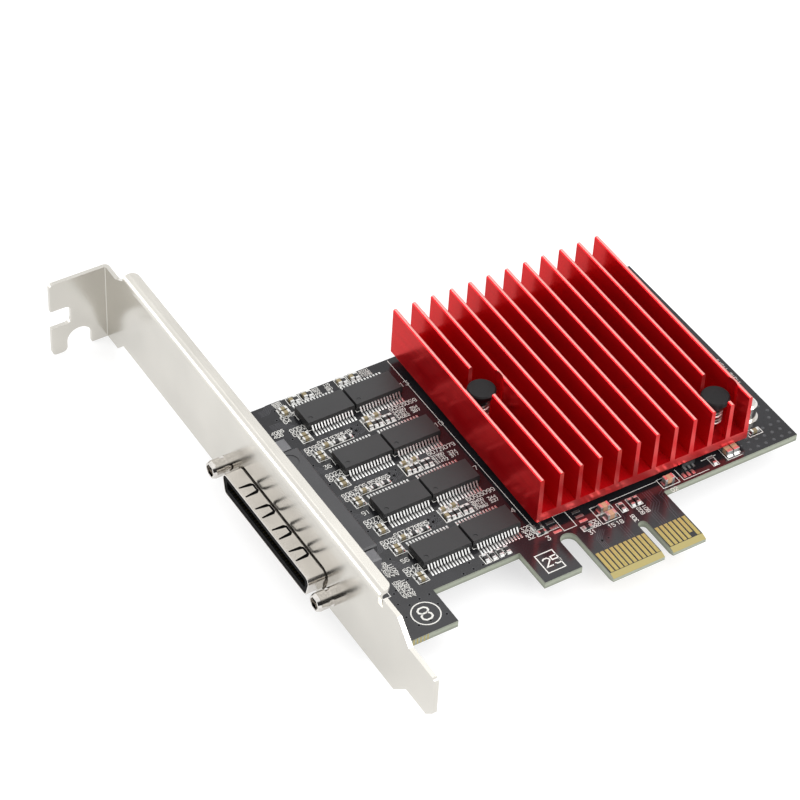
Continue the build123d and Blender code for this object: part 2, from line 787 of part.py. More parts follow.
# Regulator with three leads a side
with BuildPart() as regulator:
    with BuildSketch(Plane.XY.offset(regulator_standoff)):
        with Locations((regulator_x, regulator_y)):
            Rectangle(regulator_length, regulator_width)
    extrude(amount=regulator_height - regulator_standoff)
regulator.part.label = "regulator"
export_step(regulator.part, "parts/regulator.step")

with BuildPart() as regulator_leads:
    with BuildSketch(Plane.XY):
        for n in range(regulator_leads_a_side):
            x = regulator_x + (n - (regulator_leads_a_side - 1) / 2) * regulator_lead_pitch
            out = regulator_width / 2 + regulator_lead_reach / 2
            with Locations((x, regulator_y - out), (x, regulator_y + out)):
                Rectangle(regulator_lead_width, regulator_lead_reach)
    extrude(amount=regulator_lead_thickness)
regulator_leads.part.label = "regulator_leads"
export_step(regulator_leads.part, "parts/regulator_leads.step")

# Small capacitors: two pairs beside each row of drivers, one in each strip and the odd ones by the edge
flat_capacitors = [
    (pair_x, row_y + beside + step * pair_pitch / 2)
    for row_y in row_ys
    for beside in (pair_above, pair_below)
    for step in (-1, 1)
]
flat_capacitors += [(strip_x, row_y + strip_above) for row_y in row_ys[:-1]]
flat_capacitors += [(twin_x + n * twin_pitch, row_y + twin_below) for row_y in row_ys[1:] for n in range(2)]
flat_capacitors += edge_capacitors
upright_capacitors = [(x, top_bank_y) for x in top_bank_x[::2]]
upright_capacitors += [(bank_x, row_y + bank_below) for row_y in row_ys[1:]]
with BuildPart() as line_capacitors:
    with BuildSketch(Plane.XY):
        with Locations(*flat_capacitors):
            Rectangle(small_length, small_width)
        with Locations(*upright_capacitors):
            Rectangle(small_width, small_length)
    extrude(amount=capacitor_height)
line_capacitors.part.label = "line_capacitors"
export_step(line_capacitors.part, "parts/line_capacitors.step")

# Small resistors in the strips and banks between the rows and along the lower edge
level_resistors = [
    (strip_x + n * strip_pitch, row_y + strip_above) for row_y in row_ys[:-1] for n in (1, 2)
]
level_resistors += flat_resistors
upright_resistors = [(x, top_bank_y) for x in top_bank_x[1::2]]
upright_resistors += [(x, foot_bank_y) for x in foot_bank_x]
for row_y in row_ys[1:]:
    upright_resistors += [(bank_x + n * bank_pitch, row_y + bank_below) for n in (1, 2)]
    upright_resistors += [(second_bank_x + n * bank_pitch, row_y + bank_below) for n in (0, 1)]
upright_resistors += edge_resistors
with BuildPart() as line_resistors:
    with BuildSketch(Plane.XY):
        with Locations(*level_resistors):
            Rectangle(small_length, small_width)
        with Locations(*upright_resistors):
            Rectangle(small_width, small_length)
    extrude(amount=resistor_height)
line_resistors.part.label = "line_resistors"
export_step(line_resistors.part, "parts/line_resistors.step")

# Larger capacitors by the edge connector
with BuildPart() as bulk_capacitors:
    with BuildSketch(Plane.XY):
        with Locations(*bulk_flat):
            Rectangle(bulk_length, bulk_width)
        with Locations(*bulk_upright):
            Rectangle(bulk_width, bulk_length)
    extrude(amount=bulk_height)
bulk_capacitors.part.label = "bulk_capacitors"
export_step(bulk_capacitors.part, "parts/bulk_capacitors.step")
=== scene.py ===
"""Looks for a serial port card: a low expansion card with a red finned heat sink and a tall steel bracket.

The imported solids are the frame. Every operator below dresses one piece, or one group of like pieces.
Shapes are written in millimetres in the card's own frame and become metres when a piece is finished.
"""

import itertools
import math

import bmesh
import bpy
from bpy.props import FloatProperty, FloatVectorProperty, IntProperty, PointerProperty
from mathutils import Matrix, Vector


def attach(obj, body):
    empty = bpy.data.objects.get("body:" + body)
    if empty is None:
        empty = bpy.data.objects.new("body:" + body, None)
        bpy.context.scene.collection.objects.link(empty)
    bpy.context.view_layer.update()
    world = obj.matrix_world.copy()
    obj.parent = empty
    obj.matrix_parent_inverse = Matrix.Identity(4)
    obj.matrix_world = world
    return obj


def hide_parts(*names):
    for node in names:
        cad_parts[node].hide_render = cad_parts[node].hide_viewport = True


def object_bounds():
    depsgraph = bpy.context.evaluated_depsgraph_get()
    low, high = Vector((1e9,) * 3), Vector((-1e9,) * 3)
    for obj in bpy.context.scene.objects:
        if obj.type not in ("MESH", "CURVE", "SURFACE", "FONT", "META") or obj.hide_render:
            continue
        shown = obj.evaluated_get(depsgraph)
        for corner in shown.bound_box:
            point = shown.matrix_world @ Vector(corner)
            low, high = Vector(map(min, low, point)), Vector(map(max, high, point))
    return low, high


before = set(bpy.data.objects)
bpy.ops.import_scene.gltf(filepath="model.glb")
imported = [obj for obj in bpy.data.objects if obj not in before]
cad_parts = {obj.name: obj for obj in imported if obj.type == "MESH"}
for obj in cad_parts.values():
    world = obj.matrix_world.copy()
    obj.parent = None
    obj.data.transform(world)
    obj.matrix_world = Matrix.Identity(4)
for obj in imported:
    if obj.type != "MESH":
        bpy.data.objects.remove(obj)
CAD_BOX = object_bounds()

bl_info = {
    "name": "Serial port card",
    "version": (1, 0, 0),
    "blender": (4, 5, 0),
    "location": "View3D > Sidebar > Card",
    "description": "Dresses a serial port card in solder mask, print, solder, nickel and anodised metal",
    "category": "Object",
}

MM = 0.001
# Centres of the driver chips, and their leads
ROW_YS = (20.85, 34.43, 48.01, 61.59)
CHIP_XS = (22.35, 32.8)
LEAD_PITCH = 0.65
LEADS = 14
# Heights of the flat pieces on the board
TRACE_Z = 0.012
HOLE_Z = 0.014
PRINT_Z = 0.03
PAD_Z = 0.035
# Sides of a small circle
SIDES = 12
# Radians that a wave texture turns through in one unit
WAVE_TURN = 20


def linear(code):
    """Turns an sRGB hex code into linear red, green, blue and a full alpha."""
    parts = [int(code[n : n + 2], 16) / 255 for n in (1, 3, 5)]
    return tuple([c / 12.92 if c <= 0.04045 else ((c + 0.055) / 1.055) ** 2.4 for c in parts] + [1.0])


def colour(name, code, text):
    return FloatVectorProperty(name=name, description=text, subtype="COLOR", size=4, default=linear(code), min=0, max=1)


def length(name, millimetres, text):
    return FloatProperty(name=name, description=text, unit="LENGTH", default=millimetres * MM, min=0.0)


class CardSizes(bpy.types.PropertyGroup):
    """Sizes of the print, copper and solder on the board."""

    print_line: length("Print line", 0.15, "Width of a printed outline")
    guide_line: length("Guide line", 0.13, "Width of the long lines beside the heat sink")
    print_stroke: length("Figure stroke", 0.13, "Width of the stroke in a printed figure")
    fine_stroke: length("Fine stroke", 0.12, "Width of the stroke in a small printed figure")
    figure_height: length("Figure height", 0.92, "Height of a common printed figure")
    upright_height: length("Upright figure height", 0.75, "Height of a figure that reads up the board")
    trace_width: length("Trace width", 0.15, "Width of a copper trace under the mask")
    trace_pitch: length("Trace pitch", 0.32, "Distance between two traces of a bundle")
    edge_pitch: length("Edge trace pitch", 0.5, "The same distance at the edge contacts")
    via_hole: length("Via hole", 0.21, "Radius of the dark hole in a small via")
    via_ring: length("Via ring", 0.33, "Radius of the ring round a small via")
    pad_width: length("Pad width", 0.36, "Width of the pad under a driver's lead")
    pad_near: length("Pad start", 3.05, "Distance of a pad's near end from the centre line")
    pad_far: length("Pad end", 4.65, "Distance of a pad's far end from the centre line")
    solder_height: length("Solder height", 0.3, "Height of the solder at a small part's end")
    floor_size: length("Floor size", 4000, "Side of the square floor")
    legend_step: IntProperty(name="Figure step", description="Step between the numbers in the print", default=7, min=1)


class CardColours(bpy.types.PropertyGroup):
    """Colours of the card's finishes."""

    mask: colour("Solder mask", "#1B1B1E", "Dark mask over bare laminate")
    mask_copper: colour("Mask on copper", "#2C2C30", "The same mask where copper lies under it")
    laminate: colour("Laminate", "#8F9485", "Cut edge of the glass laminate")
    laminate_bevel: colour("Laminate bevel", "#A3965F", "Ground bevel of the tongue")
    ink: colour("Print", "#E9E8E3", "White print on the board")
    gold: colour("Gold", "#B2A267", "Gold plate of the edge contacts")
    tin: colour("Tin", "#DADAD8", "Tin and solder")
    nickel: colour("Satin nickel", "#CDCAC3", "Plated sheet of the bracket")
    shell: colour("Shell", "#D9D5D0", "Plated shell of the port")
    red: colour("Red anodise", "#C6131B", "Dyed aluminium of the heat sink")
    # Pale colour of the sawn ends, also painted along the fin tops as a highlight
    cut_and_tip_highlight: colour("Red edge", "#FFCCC4", "Thin bright edges of the fins")
    epoxy: colour("Epoxy", "#2A2A2B", "Moulded bodies of the chips")
    housing: colour("Housing", "#3E3E40", "Rear housing of the port")
    lug: colour("Lug", "#68686B", "Cast lugs of the port")
    ceramic: colour("Ceramic", "#8A7E60", "Body of a small capacitor")
    ceramic_bulk: colour("Large ceramic", "#C99E80", "Body of a larger capacitor")
    floor: colour("Floor", "#ABABAB", "Studio floor, before it is lit from below")


# Materials


def fill(tree, node, inputs):
    """Fills a node's inputs, by name or in order, with plain values or links."""
    for key, value in inputs.items() if isinstance(inputs, dict) else enumerate(inputs):
        if isinstance(value, bpy.types.NodeSocket):
            tree.links.new(value, node.inputs[key])
        else:
            node.inputs[key].default_value = value


def add(tree, kind, inputs=(), out=0, stops=(), **settings):
    """Adds one node with its settings, inputs and colour stops, and hands back one of its outputs."""
    node = tree.nodes.new(f"ShaderNode{kind}")
    for key, value in settings.items():
        setattr(node, key, value)
    fill(tree, node, inputs)
    for n, (position, shade) in enumerate(stops):
        node.color_ramp.elements[n].position = position
        node.color_ramp.elements[n].color = shade
    return node.outputs[out]


def new_material(name):
    """Starts a material and hands back it, its tree, its shader and the place on the object."""
    made = bpy.data.materials.new(name)
    made.use_nodes = True
    tree = made.node_tree
    return made, tree, tree.nodes["Principled BSDF"], add(tree, "TexCoord", out="Object")


WHITE = (1.0, 1.0, 1.0, 1.0)


def scaled(tint, factor):
    return (tint[0] * factor, tint[1] * factor, tint[2] * factor, 1.0)


def tints(tint, low, high, start=0.3, end=0.7):
    """Two stops of a colour ramp, with one colour scaled by each factor."""
    return ((start, scaled(tint, low)), (end, scaled(tint, high)))


def cycles(millimetres):
    """Texture scale, in repeats a metre, that gives features of this size in millimetres."""
    return 1.0 / (millimetres * MM)


def bands(millimetres):
    """Scale of a wave texture that gives bands this far apart in millimetres."""
    return cycles(millimetres) * math.tau / WAVE_TURN


def grained(name, stops, grain, rough, relief, looks, detail=2.0, stretch=None):
    """A material with one grain of this size in millimetres, which its tint, gloss and relief follow.

    The roughness is one value, or the two ends of a range. The relief is a depth in millimetres and a strength.
    """
    made, tree, shader, place = new_material(name)
    if stretch:
        place = add(tree, "Mapping", {"Vector": place, "Scale": (1.0, stretch, 1.0)})
    grit = add(tree, "TexNoise", {"Vector": place, "Scale": cycles(grain), "Detail": detail})
    looks = {"Base Color": add(tree, "ValToRGB", (grit,), stops=stops), "Roughness": rough, **looks}
    if isinstance(rough, tuple):
        looks["Roughness"] = add(tree, "MapRange", (grit, 0.3, 0.7, *rough))
    if relief:
        depth, strength = relief
        looks["Normal"] = add(tree, "Bump", {"Height": grit, "Distance": depth * MM, "Strength": strength})
    fill(tree, shader, looks)
    return made


def solder_mask(colours):
    # Liquid epoxy solder mask, curtain coated on copper clad glass laminate and cured to a gloss. The eye gets
    # a near black surface that mirrors what stands on it, in slightly uneven patches, with a faint glass weave.
    made, tree, shader, place = new_material("solder_mask_epoxy_coated")
    facing = add(tree, "SeparateXYZ", (add(tree, "TexCoord", out="Normal"),), out="Z")
    up = add(tree, "Math", (facing,), operation="ABSOLUTE")
    flat = add(tree, "Math", (up, 0.995), operation="GREATER_THAN")
    edge = add(tree, "Math", (up, 0.3), operation="LESS_THAN")
    # The cloth has a thread each 0.45 mm, and is drawn 2.8 mm apart as the soft ripple that shows
    threads = [
        add(tree, "TexWave", {"Vector": place, "Scale": bands(2.8274)}, "Fac", bands_direction=way) for way in "XY"
    ]
    cloth = add(tree, "Math", threads, operation="MULTIPLY")
    # Patches of the copper layers below, some 6 mm across, and a fine orange peel of 0.3 mm
    patches = add(tree, "TexNoise", {"Vector": place, "Scale": cycles(6.0), "Detail": 1.0, "Roughness": 0.3})
    peel = add(tree, "TexNoise", {"Vector": place, "Scale": cycles(0.3), "Detail": 2.0})
    tone = add(tree, "ValToRGB", (patches,), stops=tints(colours.mask, 1.0, 1.4, 0.35, 0.65))
    # The cut edge has layers 0.2 mm apart, drawn 1.4 mm apart as the one pale line that shows
    wave = {"Vector": place, "Scale": bands(1.3823), "Distortion": 1.5, "Detail": 2.0, "Detail Scale": 3.0}
    layers = add(tree, "TexWave", wave, "Fac", bands_direction="Z")
    cut = add(tree, "ValToRGB", (layers,), stops=tints(colours.laminate, 0.82, 1.12, 0.2, 0.9))
    bare = add(tree, "Mix", {"Factor": edge, "A": colours.laminate_bevel, "B": cut}, "Result", data_type="RGBA")
    relief = add(tree, "Math", (cloth, peel), operation="ADD")
    looks = {
        "Base Color": add(tree, "Mix", {"Factor": flat, "A": bare, "B": tone}, "Result", data_type="RGBA"),
        "Roughness": add(tree, "MapRange", (flat, 0.0, 1.0, 0.6, 0.17)),
        "IOR": 1.55,
        "Specular IOR Level": 0.38,
        "Normal": add(tree, "Bump", {"Height": relief, "Distance": 0.004 * MM, "Strength": 0.6}),
    }
    fill(tree, shader, looks)
    return made


def mask_on_copper(colours):
    # The same mask where it climbs over an etched trace: a little paler, a little rounder, just as glossy.
    stops = tints(colours.mask_copper, 1.0, 1.6)
    return grained("solder_mask_over_trace", stops, 0.3, 0.22, (0.004, 0.5), {"IOR": 1.55})


def screen_ink(colours):
    # White epoxy ink, screen printed and baked. The eye gets an even, chalky white with slightly soft cover.
    stops = tints(colours.ink, 0.72, 1.0, 0.3, 0.62)
    return grained("epoxy_ink_screen_printed", stops, 0.25, 0.55, (0.006, 0.5), {"IOR": 1.5})


def painted_via_shade():
    # A flat near black disc, painted shade where the via's hole sinks under the mask. The eye gets a small black dot.
    stops = tints(WHITE, 0.0015, 0.006, 0.3, 0.8)
    return grained("via_hole_painted_shade", stops, 0.1, 0.6, None, {"IOR": 1.5, "Specular IOR Level": 0.05})


def hard_gold(colours, name="hard_gold_electroplated", share=1.0):
    # Hard gold, electroplated over nickel on copper. The eye gets a warm satin metal with fine wipe marks
    # that run along the insertion direction.
    # A share below one darkens the gold as painted shade
    stops = tints(colours.gold, 0.86 * share, 1.05 * share, 0.3, 0.75)
    return grained(name, stops, 0.08, (0.24, 0.4), (0.002, 0.6), {"Metallic": 1.0}, 3.0, 0.06)


def bright_tin(colours, name="tin_plated_reflowed", dull=0.0):
    # Tin, plated and reflowed on copper alloy. The eye gets a bright pale metal with soft, uneven gloss.
    stops = tints(colours.tin, 0.84, 1.05)
    return grained(name, stops, 0.12, (0.22 + dull, 0.4 + dull), (0.004, 0.5), {"Metallic": 1.0}, 3.0)


def satin_nickel(colours):
    # Mild steel sheet, blanked, folded and plated in satin nickel. The eye gets a warm pale sheen with soft
    # cloudy reflections, and a grain along the strip that is all but rubbed away.
    made, tree, shader, place = new_material("steel_sheet_satin_nickel")
    drawn = add(tree, "Mapping", {"Vector": place, "Scale": (1.0, 0.03, 1.0)})
    grain = add(tree, "TexNoise", {"Vector": drawn, "Scale": cycles(0.12), "Detail": 3.0})
    cloud = add(tree, "TexNoise", {"Vector": place, "Scale": cycles(14.0), "Detail": 2.0})
    tone = add(tree, "ValToRGB", (cloud,), stops=tints(colours.nickel, 0.95, 1.04))
    streak = add(tree, "ValToRGB", (grain,), stops=tints(WHITE, 0.985, 1.01, 0.2, 0.8))
    base = add(tree, "Mix", {"Factor": 1.0, "A": tone, "B": streak}, "Result", data_type="RGBA", blend_type="MULTIPLY")
    looks = {
        "Base Color": base,
        "Metallic": 1.0,
        "Roughness": add(tree, "MapRange", (grain, 0.3, 0.7, 0.21, 0.25)),
        "Normal": add(tree, "Bump", {"Height": grain, "Distance": 0.0003 * MM, "Strength": 0.4}),
    }
    fill(tree, shader, looks)
    return made


def stamped_shell(colours, name="steel_shell_stamped_nickel", rough=0.14):
    # Thin steel, drawn and stamped, with bright nickel plate. The eye gets a mirror-like metal that is
    # slightly wavy from the press and has faint draw lines.
    made, tree, shader, place = new_material(name)
    waves = add(tree, "TexNoise", {"Vector": place, "Scale": cycles(3.0), "Detail": 1.0})
    fine = add(tree, "TexNoise", {"Vector": place, "Scale": cycles(0.08), "Detail": 2.0})
    soft = add(tree, "Bump", {"Height": waves, "Distance": 0.008 * MM, "Strength": 0.3})
    looks = {
        "Base Color": add(tree, "ValToRGB", (waves,), stops=tints(colours.shell, 0.93, 1.03)),
        "Metallic": 1.0,
        "Roughness": add(tree, "MapRange", (fine, 0.3, 0.7, rough, rough + 0.08)),
        "Normal": add(tree, "Bump", {"Height": fine, "Distance": 0.0003 * MM, "Strength": 0.4, "Normal": soft}),
    }
    fill(tree, shader, looks)
    return made


def turned_nickel(colours):
    # Brass bar, turned on an automatic lathe and bright nickel plated. The eye gets hard reflections broken by
    # the tool's rings. They are about 0.1 mm apart, and are drawn 0.6 mm apart so that they show.
    made, tree, shader, place = new_material("brass_turned_nickel_plated")
    wave = {"Vector": place, "Scale": bands(0.6283), "Distortion": 0.4}
    rings = add(tree, "TexWave", wave, "Fac", bands_direction="X")
    fine = add(tree, "TexNoise", {"Vector": place, "Scale": cycles(0.4), "Detail": 2.0})
    looks = {
        "Base Color": add(tree, "ValToRGB", (fine,), stops=tints(colours.shell, 0.82, 1.0)),
        "Metallic": 1.0,
        "Roughness": 0.07,
        "Normal": add(tree, "Bump", {"Height": rings, "Distance": 0.001 * MM, "Strength": 0.2}),
    }
    fill(tree, shader, looks)
    return made


def moulded(name, tint, rough, grain, depth, shine=0.5):
    """Moulded plastic, or fired ceramic, with an even grain of this size and depth in millimetres."""
    made, tree, shader, place = new_material(name)
    grit = add(tree, "TexNoise", {"Vector": place, "Scale": cycles(grain), "Detail": 3.0})
    cloud = add(tree, "TexNoise", {"Vector": place, "Scale": cycles(5.0), "Detail": 1.0})
    tone = add(tree, "ValToRGB", (grit,), stops=tints(tint, 0.85, 1.15, 0.25, 0.75))
    shade = add(tree, "ValToRGB", (cloud,), stops=tints(WHITE, 0.93, 1.06))
    base = add(tree, "Mix", {"Factor": 1.0, "A": tone, "B": shade}, "Result", data_type="RGBA", blend_type="MULTIPLY")
    looks = {
        "Base Color": base,
        "Roughness": add(tree, "MapRange", (grit, 0.3, 0.7, rough - 0.06, rough + 0.06)),
        "IOR": 1.5,
        "Specular IOR Level": shine,
        "Normal": add(tree, "Bump", {"Height": grit, "Distance": depth * MM, "Strength": 0.6}),
    }
    fill(tree, shader, looks)
    return made


def red_anodise(colours):
    # Aluminium, extruded, sawn to length and anodised in red dye. The eye gets deep red metal with die lines
    # along the fins and paler sawn ends. The thin bright tips of the fins are a painted highlight.
    made, tree, shader, place = new_material("aluminium_extruded_red_anodised")
    height = add(tree, "SeparateXYZ", (place,), "Z")
    facing = add(tree, "SeparateXYZ", (add(tree, "TexCoord", out="Normal"),), "Y")
    drawn = add(tree, "Mapping", {"Vector": place, "Scale": (1.0, 0.015, 1.0)})
    lines = add(tree, "TexNoise", {"Vector": drawn, "Scale": cycles(0.25), "Detail": 3.0})
    cloud = add(tree, "TexNoise", {"Vector": place, "Scale": cycles(9.0), "Detail": 2.0})
    # The saw leaves arcs about 0.5 mm apart on the cut ends, and they are drawn 3 mm apart so that they show
    wave = {"Vector": place, "Scale": bands(3.1416), "Distortion": 3.0, "Detail": 2.0}
    saw = add(tree, "TexWave", wave, "Fac", bands_direction="DIAGONAL")
    tone = add(tree, "ValToRGB", (lines,), stops=tints(colours.red, 0.86, 1.1, 0.25, 0.75))
    shade = add(tree, "ValToRGB", (cloud,), stops=tints(WHITE, 0.92, 1.05))
    end = add(tree, "Math", (facing,), operation="ABSOLUTE")
    is_end = add(tree, "Math", (end, 0.9), operation="GREATER_THAN")
    # The fins end at 12.3 mm above the board, and a thin band at their tops is painted pale as a highlight
    tip = add(tree, "MapRange", (height, 12.26 * MM, 12.29 * MM, 0.0, 0.55))
    cut = add(tree, "MapRange", (saw, 0.0, 1.0, 0.04, 0.1))
    cut_part = add(tree, "Math", (cut, is_end), operation="MULTIPLY")
    # Paler sawn ends, and the painted highlight along the fin tops
    bare = add(tree, "Math", (cut_part, tip), operation="MAXIMUM")
    dyed = add(tree, "Mix", {"Factor": 1.0, "A": tone, "B": shade}, "Result", data_type="RGBA", blend_type="MULTIPLY")
    sawn_and_tip_highlight_mix = {"Factor": bare, "A": dyed, "B": colours.cut_and_tip_highlight}
    looks = {
        "Base Color": add(tree, "Mix", sawn_and_tip_highlight_mix, "Result", data_type="RGBA"),
        "Metallic": 0.58,
        "Roughness": add(tree, "MapRange", (lines, 0.3, 0.7, 0.16, 0.24)),
        "Specular IOR Level": 0.3,
        "Specular Tint": (1.0, 0.3, 0.3, 1.0),
        "Coat Weight": 0.05,
        "Coat Roughness": 0.14,
        "Normal": add(tree, "Bump", {"Height": lines, "Distance": 0.0015 * MM, "Strength": 0.4}),
    }
    fill(tree, shader, looks)
    return made


def fired_ceramic(name, tint):
    # Barium titanate, cast in layers and fired. The eye gets a dull block, a bit mottled.
    return moulded(name, tint, 0.5, 0.2, 0.006)


def studio_floor(colours):
    # Opal acrylic sheet, cast, rubbed matt and lit softly from below. The eye gets an even white ground that
    # takes hardly any shadow, with clouds of some 8 mm that hardly show.
    glow = {"IOR": 1.5, "Emission Color": WHITE, "Emission Strength": 0.65}
    return grained("acrylic_opal_cast_backlit", tints(colours.floor, 0.99, 1.0), 8.0, 0.95, None, glow)


# Shapes


def mitre(line, n, closed, least):
    """The sideways direction at one point of a line, and how much longer its mitre is there."""
    count = len(line)
    before = line[n - 1] if n or closed else None
    after = line[(n + 1) % count] if n < count - 1 or closed else None
    arriving = (line[n] - before).normalized() if before is not None else (after - line[n]).normalized()
    leaving = (after - line[n]).normalized() if after is not None else arriving
    across_in = Vector((-arriving.y, arriving.x))
    across = (across_in + Vector((-leaving.y, leaving.x))).normalized()
    return across, 1 / max(across.dot(across_in), least)


def ribbon(shape, points, width, z, closed=False):
    """A flat strip of even width along a line of points, mitred at its corners."""
    line = [Vector(p) for p in points]
    rows = []
    for n, here in enumerate(line):
        across, stretch = mitre(line, n, closed, 0.45)
        reach = across * width / 2 * stretch
        rows.append([shape.verts.new((*(here + side), z)) for side in (reach, -reach)])
    ahead = rows[1:] + rows[:1] if closed else rows[1:]
    for (a, b), (c, d) in zip(rows, ahead):
        shape.faces.new((b, d, c, a))


def trace_bundle(shape, points, count, pitch, width):
    """Parallel traces that follow one line, each set off sideways from the last."""
    line = [Vector(p) for p in points]
    turns = [mitre(line, k, False, 0.5) for k in range(len(line))]
    for n in range(count):
        shift = (n - (count - 1) / 2) * pitch
        moved = [here + across * shift * stretch for here, (across, stretch) in zip(line, turns)]
        ribbon(shape, moved, width, TRACE_Z)


def corners(low_x, low_y, high_x, high_y):
    return ((low_x, low_y), (high_x, low_y), (high_x, high_y), (low_x, high_y))


def outline_box(shape, low_x, low_y, high_x, high_y, width):
    ribbon(shape, corners(low_x, low_y, high_x, high_y), width, PRINT_Z, True)


def slab(shape, low_x, low_y, high_x, high_y, z):
    shape.faces.new([shape.verts.new((x, y, z)) for x, y in corners(low_x, low_y, high_x, high_y)])


def circle_points(x, y, radius, count=SIDES):
    turns = [math.tau * n / count for n in range(count)]
    return [(x + radius * math.cos(turn), y + radius * math.sin(turn)) for turn in turns]


def disc(shape, x, y, radius, z):
    shape.faces.new([shape.verts.new((a, b, z)) for a, b in circle_points(x, y, radius)])


def dome(shape, x, y, radius, height, z):
    """A low round bump in three rings."""
    last = None
    for share, lift in ((1.0, 0.0), (0.75, 0.62), (0.4, 0.92)):
        ring = [shape.verts.new((a, b, z + height * lift)) for a, b in circle_points(x, y, radius * share)]
        if last:
            for n in range(SIDES):
                shape.faces.new((last[n - 1], last[n], ring[n], ring[n - 1]))
        last = ring
    shape.faces.new(last)


def prism(shape, profile, start, end, axis):
    """A solid from a profile in the plane across an axis, pushed from start to end along it."""
    spot = "XYZ".index(axis)
    ends = [[shape.verts.new((*p[:spot], along, *p[spot:])) for p in profile] for along in (start, end)]
    shape.faces.new(ends[0])
    shape.faces.new(ends[1])
    for n in range(len(profile)):
        shape.faces.new((ends[0][n - 1], ends[0][n], ends[1][n], ends[1][n - 1]))


def block(shape, x, y, wide, deep, high, cut):
    """A block that stands on the board, with its edges broken by a small cut."""
    tips = bmesh.ops.create_cube(shape, size=1.0)["verts"]
    bmesh.ops.scale(shape, vec=(wide, deep, high), verts=tips)
    bmesh.ops.translate(shape, vec=(x, y, high / 2), verts=tips)
    edges = list({edge for tip in tips for edge in tip.link_edges})
    bmesh.ops.bevel(shape, geom=edges, offset=cut, segments=2, affect="EDGES", profile=0.6)


def finish_shape(shape, name, material, smooth=False):
    """Turns a shape in millimetres into a piece in metres that rides on the card."""
    bmesh.ops.recalc_face_normals(shape, faces=[f for f in shape.faces if not f.normal.z > 0.999])
    bmesh.ops.scale(shape, vec=(MM, MM, MM), verts=shape.verts)
    mesh = bpy.data.meshes.new(name)
    shape.to_mesh(mesh)
    shape.free()
    mesh.materials.append(material)
    if smooth:
        mesh.shade_smooth()
    piece = bpy.data.objects.new(name, mesh)
    bpy.context.scene.collection.objects.link(piece)
    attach(piece, "root")
    return piece


def dress(material, *nodes):
    """Gives each of these nodes one material all over."""
    for name in nodes:
        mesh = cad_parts[name].data
        mesh.materials.clear()
        mesh.materials.append(material)


# Strokes of the printed figures, on a grid four wide and six high
FIGURES = {
    "0": (((0, 1), (0, 5), (1, 6), (3, 6), (4, 5), (4, 1), (3, 0), (1, 0), (0, 1)),),
    "1": (((0.8, 4.6), (2.2, 6), (2.2, 0)),),
    "2": (((0, 5), (1, 6), (3, 6), (4, 5), (4, 4), (0, 0), (4, 0)),),
    "3": (((0, 6), (4, 6), (2, 3.6), (3, 3.6), (4, 2.6), (4, 1), (3, 0), (1, 0), (0, 1)),),
    "4": (((3.2, 0), (3.2, 6), (0, 2), (4.2, 2)),),
    "5": (((4, 6), (0, 6), (0, 3.5), (3, 3.5), (4, 2.6), (4, 1), (3, 0), (1, 0), (0, 1)),),
    "6": (((4, 5), (3, 6), (1, 6), (0, 5), (0, 1), (1, 0), (3, 0), (4, 1), (4, 2.4), (3, 3.4), (0, 3.4)),),
    "7": (((0, 6), (4, 6), (1.6, 0)),),
    "8": (
        ((1, 3.2), (0, 4.1), (0, 5.1), (1, 6), (3, 6), (4, 5.1), (4, 4.1), (3, 3.2), (1, 3.2)),
        ((1, 3.2), (0, 2.2), (0, 0.9), (1, 0), (3, 0), (4, 0.9), (4, 2.2), (3, 3.2)),
    ),
    "9": (((4, 2.6), (1, 2.6), (0, 3.5), (0, 5), (1, 6), (3, 6), (4, 5), (4, 1), (3, 0), (1, 0)),),
}
FIGURE_GRID = 6
FIGURE_STEP = 5.4


def figures(shape, text, x, y, height, stroke, upright=False):
    """Prints a plain number with its lower left corner here. An upright one reads up the board."""
    unit = height / FIGURE_GRID
    for n, sign in enumerate(text):
        for path in FIGURES[sign]:
            line = [((a + n * FIGURE_STEP) * unit, b * unit) for a, b in path]
            ribbon(shape, [(x - b, y + a) if upright else (x + a, y + b) for a, b in line], stroke, PRINT_Z)


class CARD_OT_dress_board(bpy.types.Operator):
    """Coat the board in dark solder mask, with its pale cut edges"""

    bl_idname = "card.dress_board"
    bl_label = "Board"

    def execute(self, context):
        dress(solder_mask(context.scene.card_colours), "board")
        return {"FINISHED"}


# Trace bundles, each a line of points and a count. Those of a row are set off from its drivers' centre line
ROW_RUNS = (
    (((11.4, 1.2), (13.4, 1.2), (15.0, -0.4), (15.0, -1.8)), 5),
    (((11.4, 5.4), (12.8, 5.4), (13.8, 6.4), (16.9, 6.4)), 5),
)
GAP_RUNS = (
    (((18.2, -4.9), (20.6, -7.3)), 4),
    (((20.6, -4.8), (22.9, -7.1)), 5),
    (((23.6, -4.8), (25.6, -6.8), (26.2, -8.0)), 5),
    (((24.2, -8.2), (25.6, -6.9), (26.8, -6.9)), 3),
    (((31.8, -4.9), (33.2, -6.1), (36.2, -6.1)), 4),
)
TAB_RUNS = ((((49.0, 6.6), (49.0, 9.2), (50.8, 11.0)), 4),)
EDGE_RUNS = (
    (((54.5, 6.6), (54.5, 10.4), (55.6, 11.5), (55.6, 14.6)), 3),
    (((61.5, 6.6), (61.5, 10.0), (63.2, 11.7), (63.2, 15.0)), 4),
    (((64.6, 6.6), (64.6, 9.2), (65.2, 11.0), (65.2, 13.0), (66.8, 13.9)), 2),
)
VIAS = (
    (9.0, 13.4), (10.7, 12.3), (13.0, 12.7), (15.1, 12.8), (8.7, 10.1), (15.2, 10.1), (7.3, 7.3),
    (9.6, 7.4), (12.0, 7.4), (15.3, 7.3), (9.7, 15.9), (10.4, 16.4), (23.0, 13.95), (25.2, 14.1),
    (27.2, 14.1), (25.3, 15.7), (49.2, 8.6), (50.6, 8.6), (52.3, 10.8),
)
ROW_VIAS = ((13.5, 2.6), (13.6, -3.2), (14.0, -1.4), (14.4, 4.9))
GAP_VIAS = ((24.6, -6.0), (25.1, -6.9), (26.1, -5.8), (24.1, -7.7))


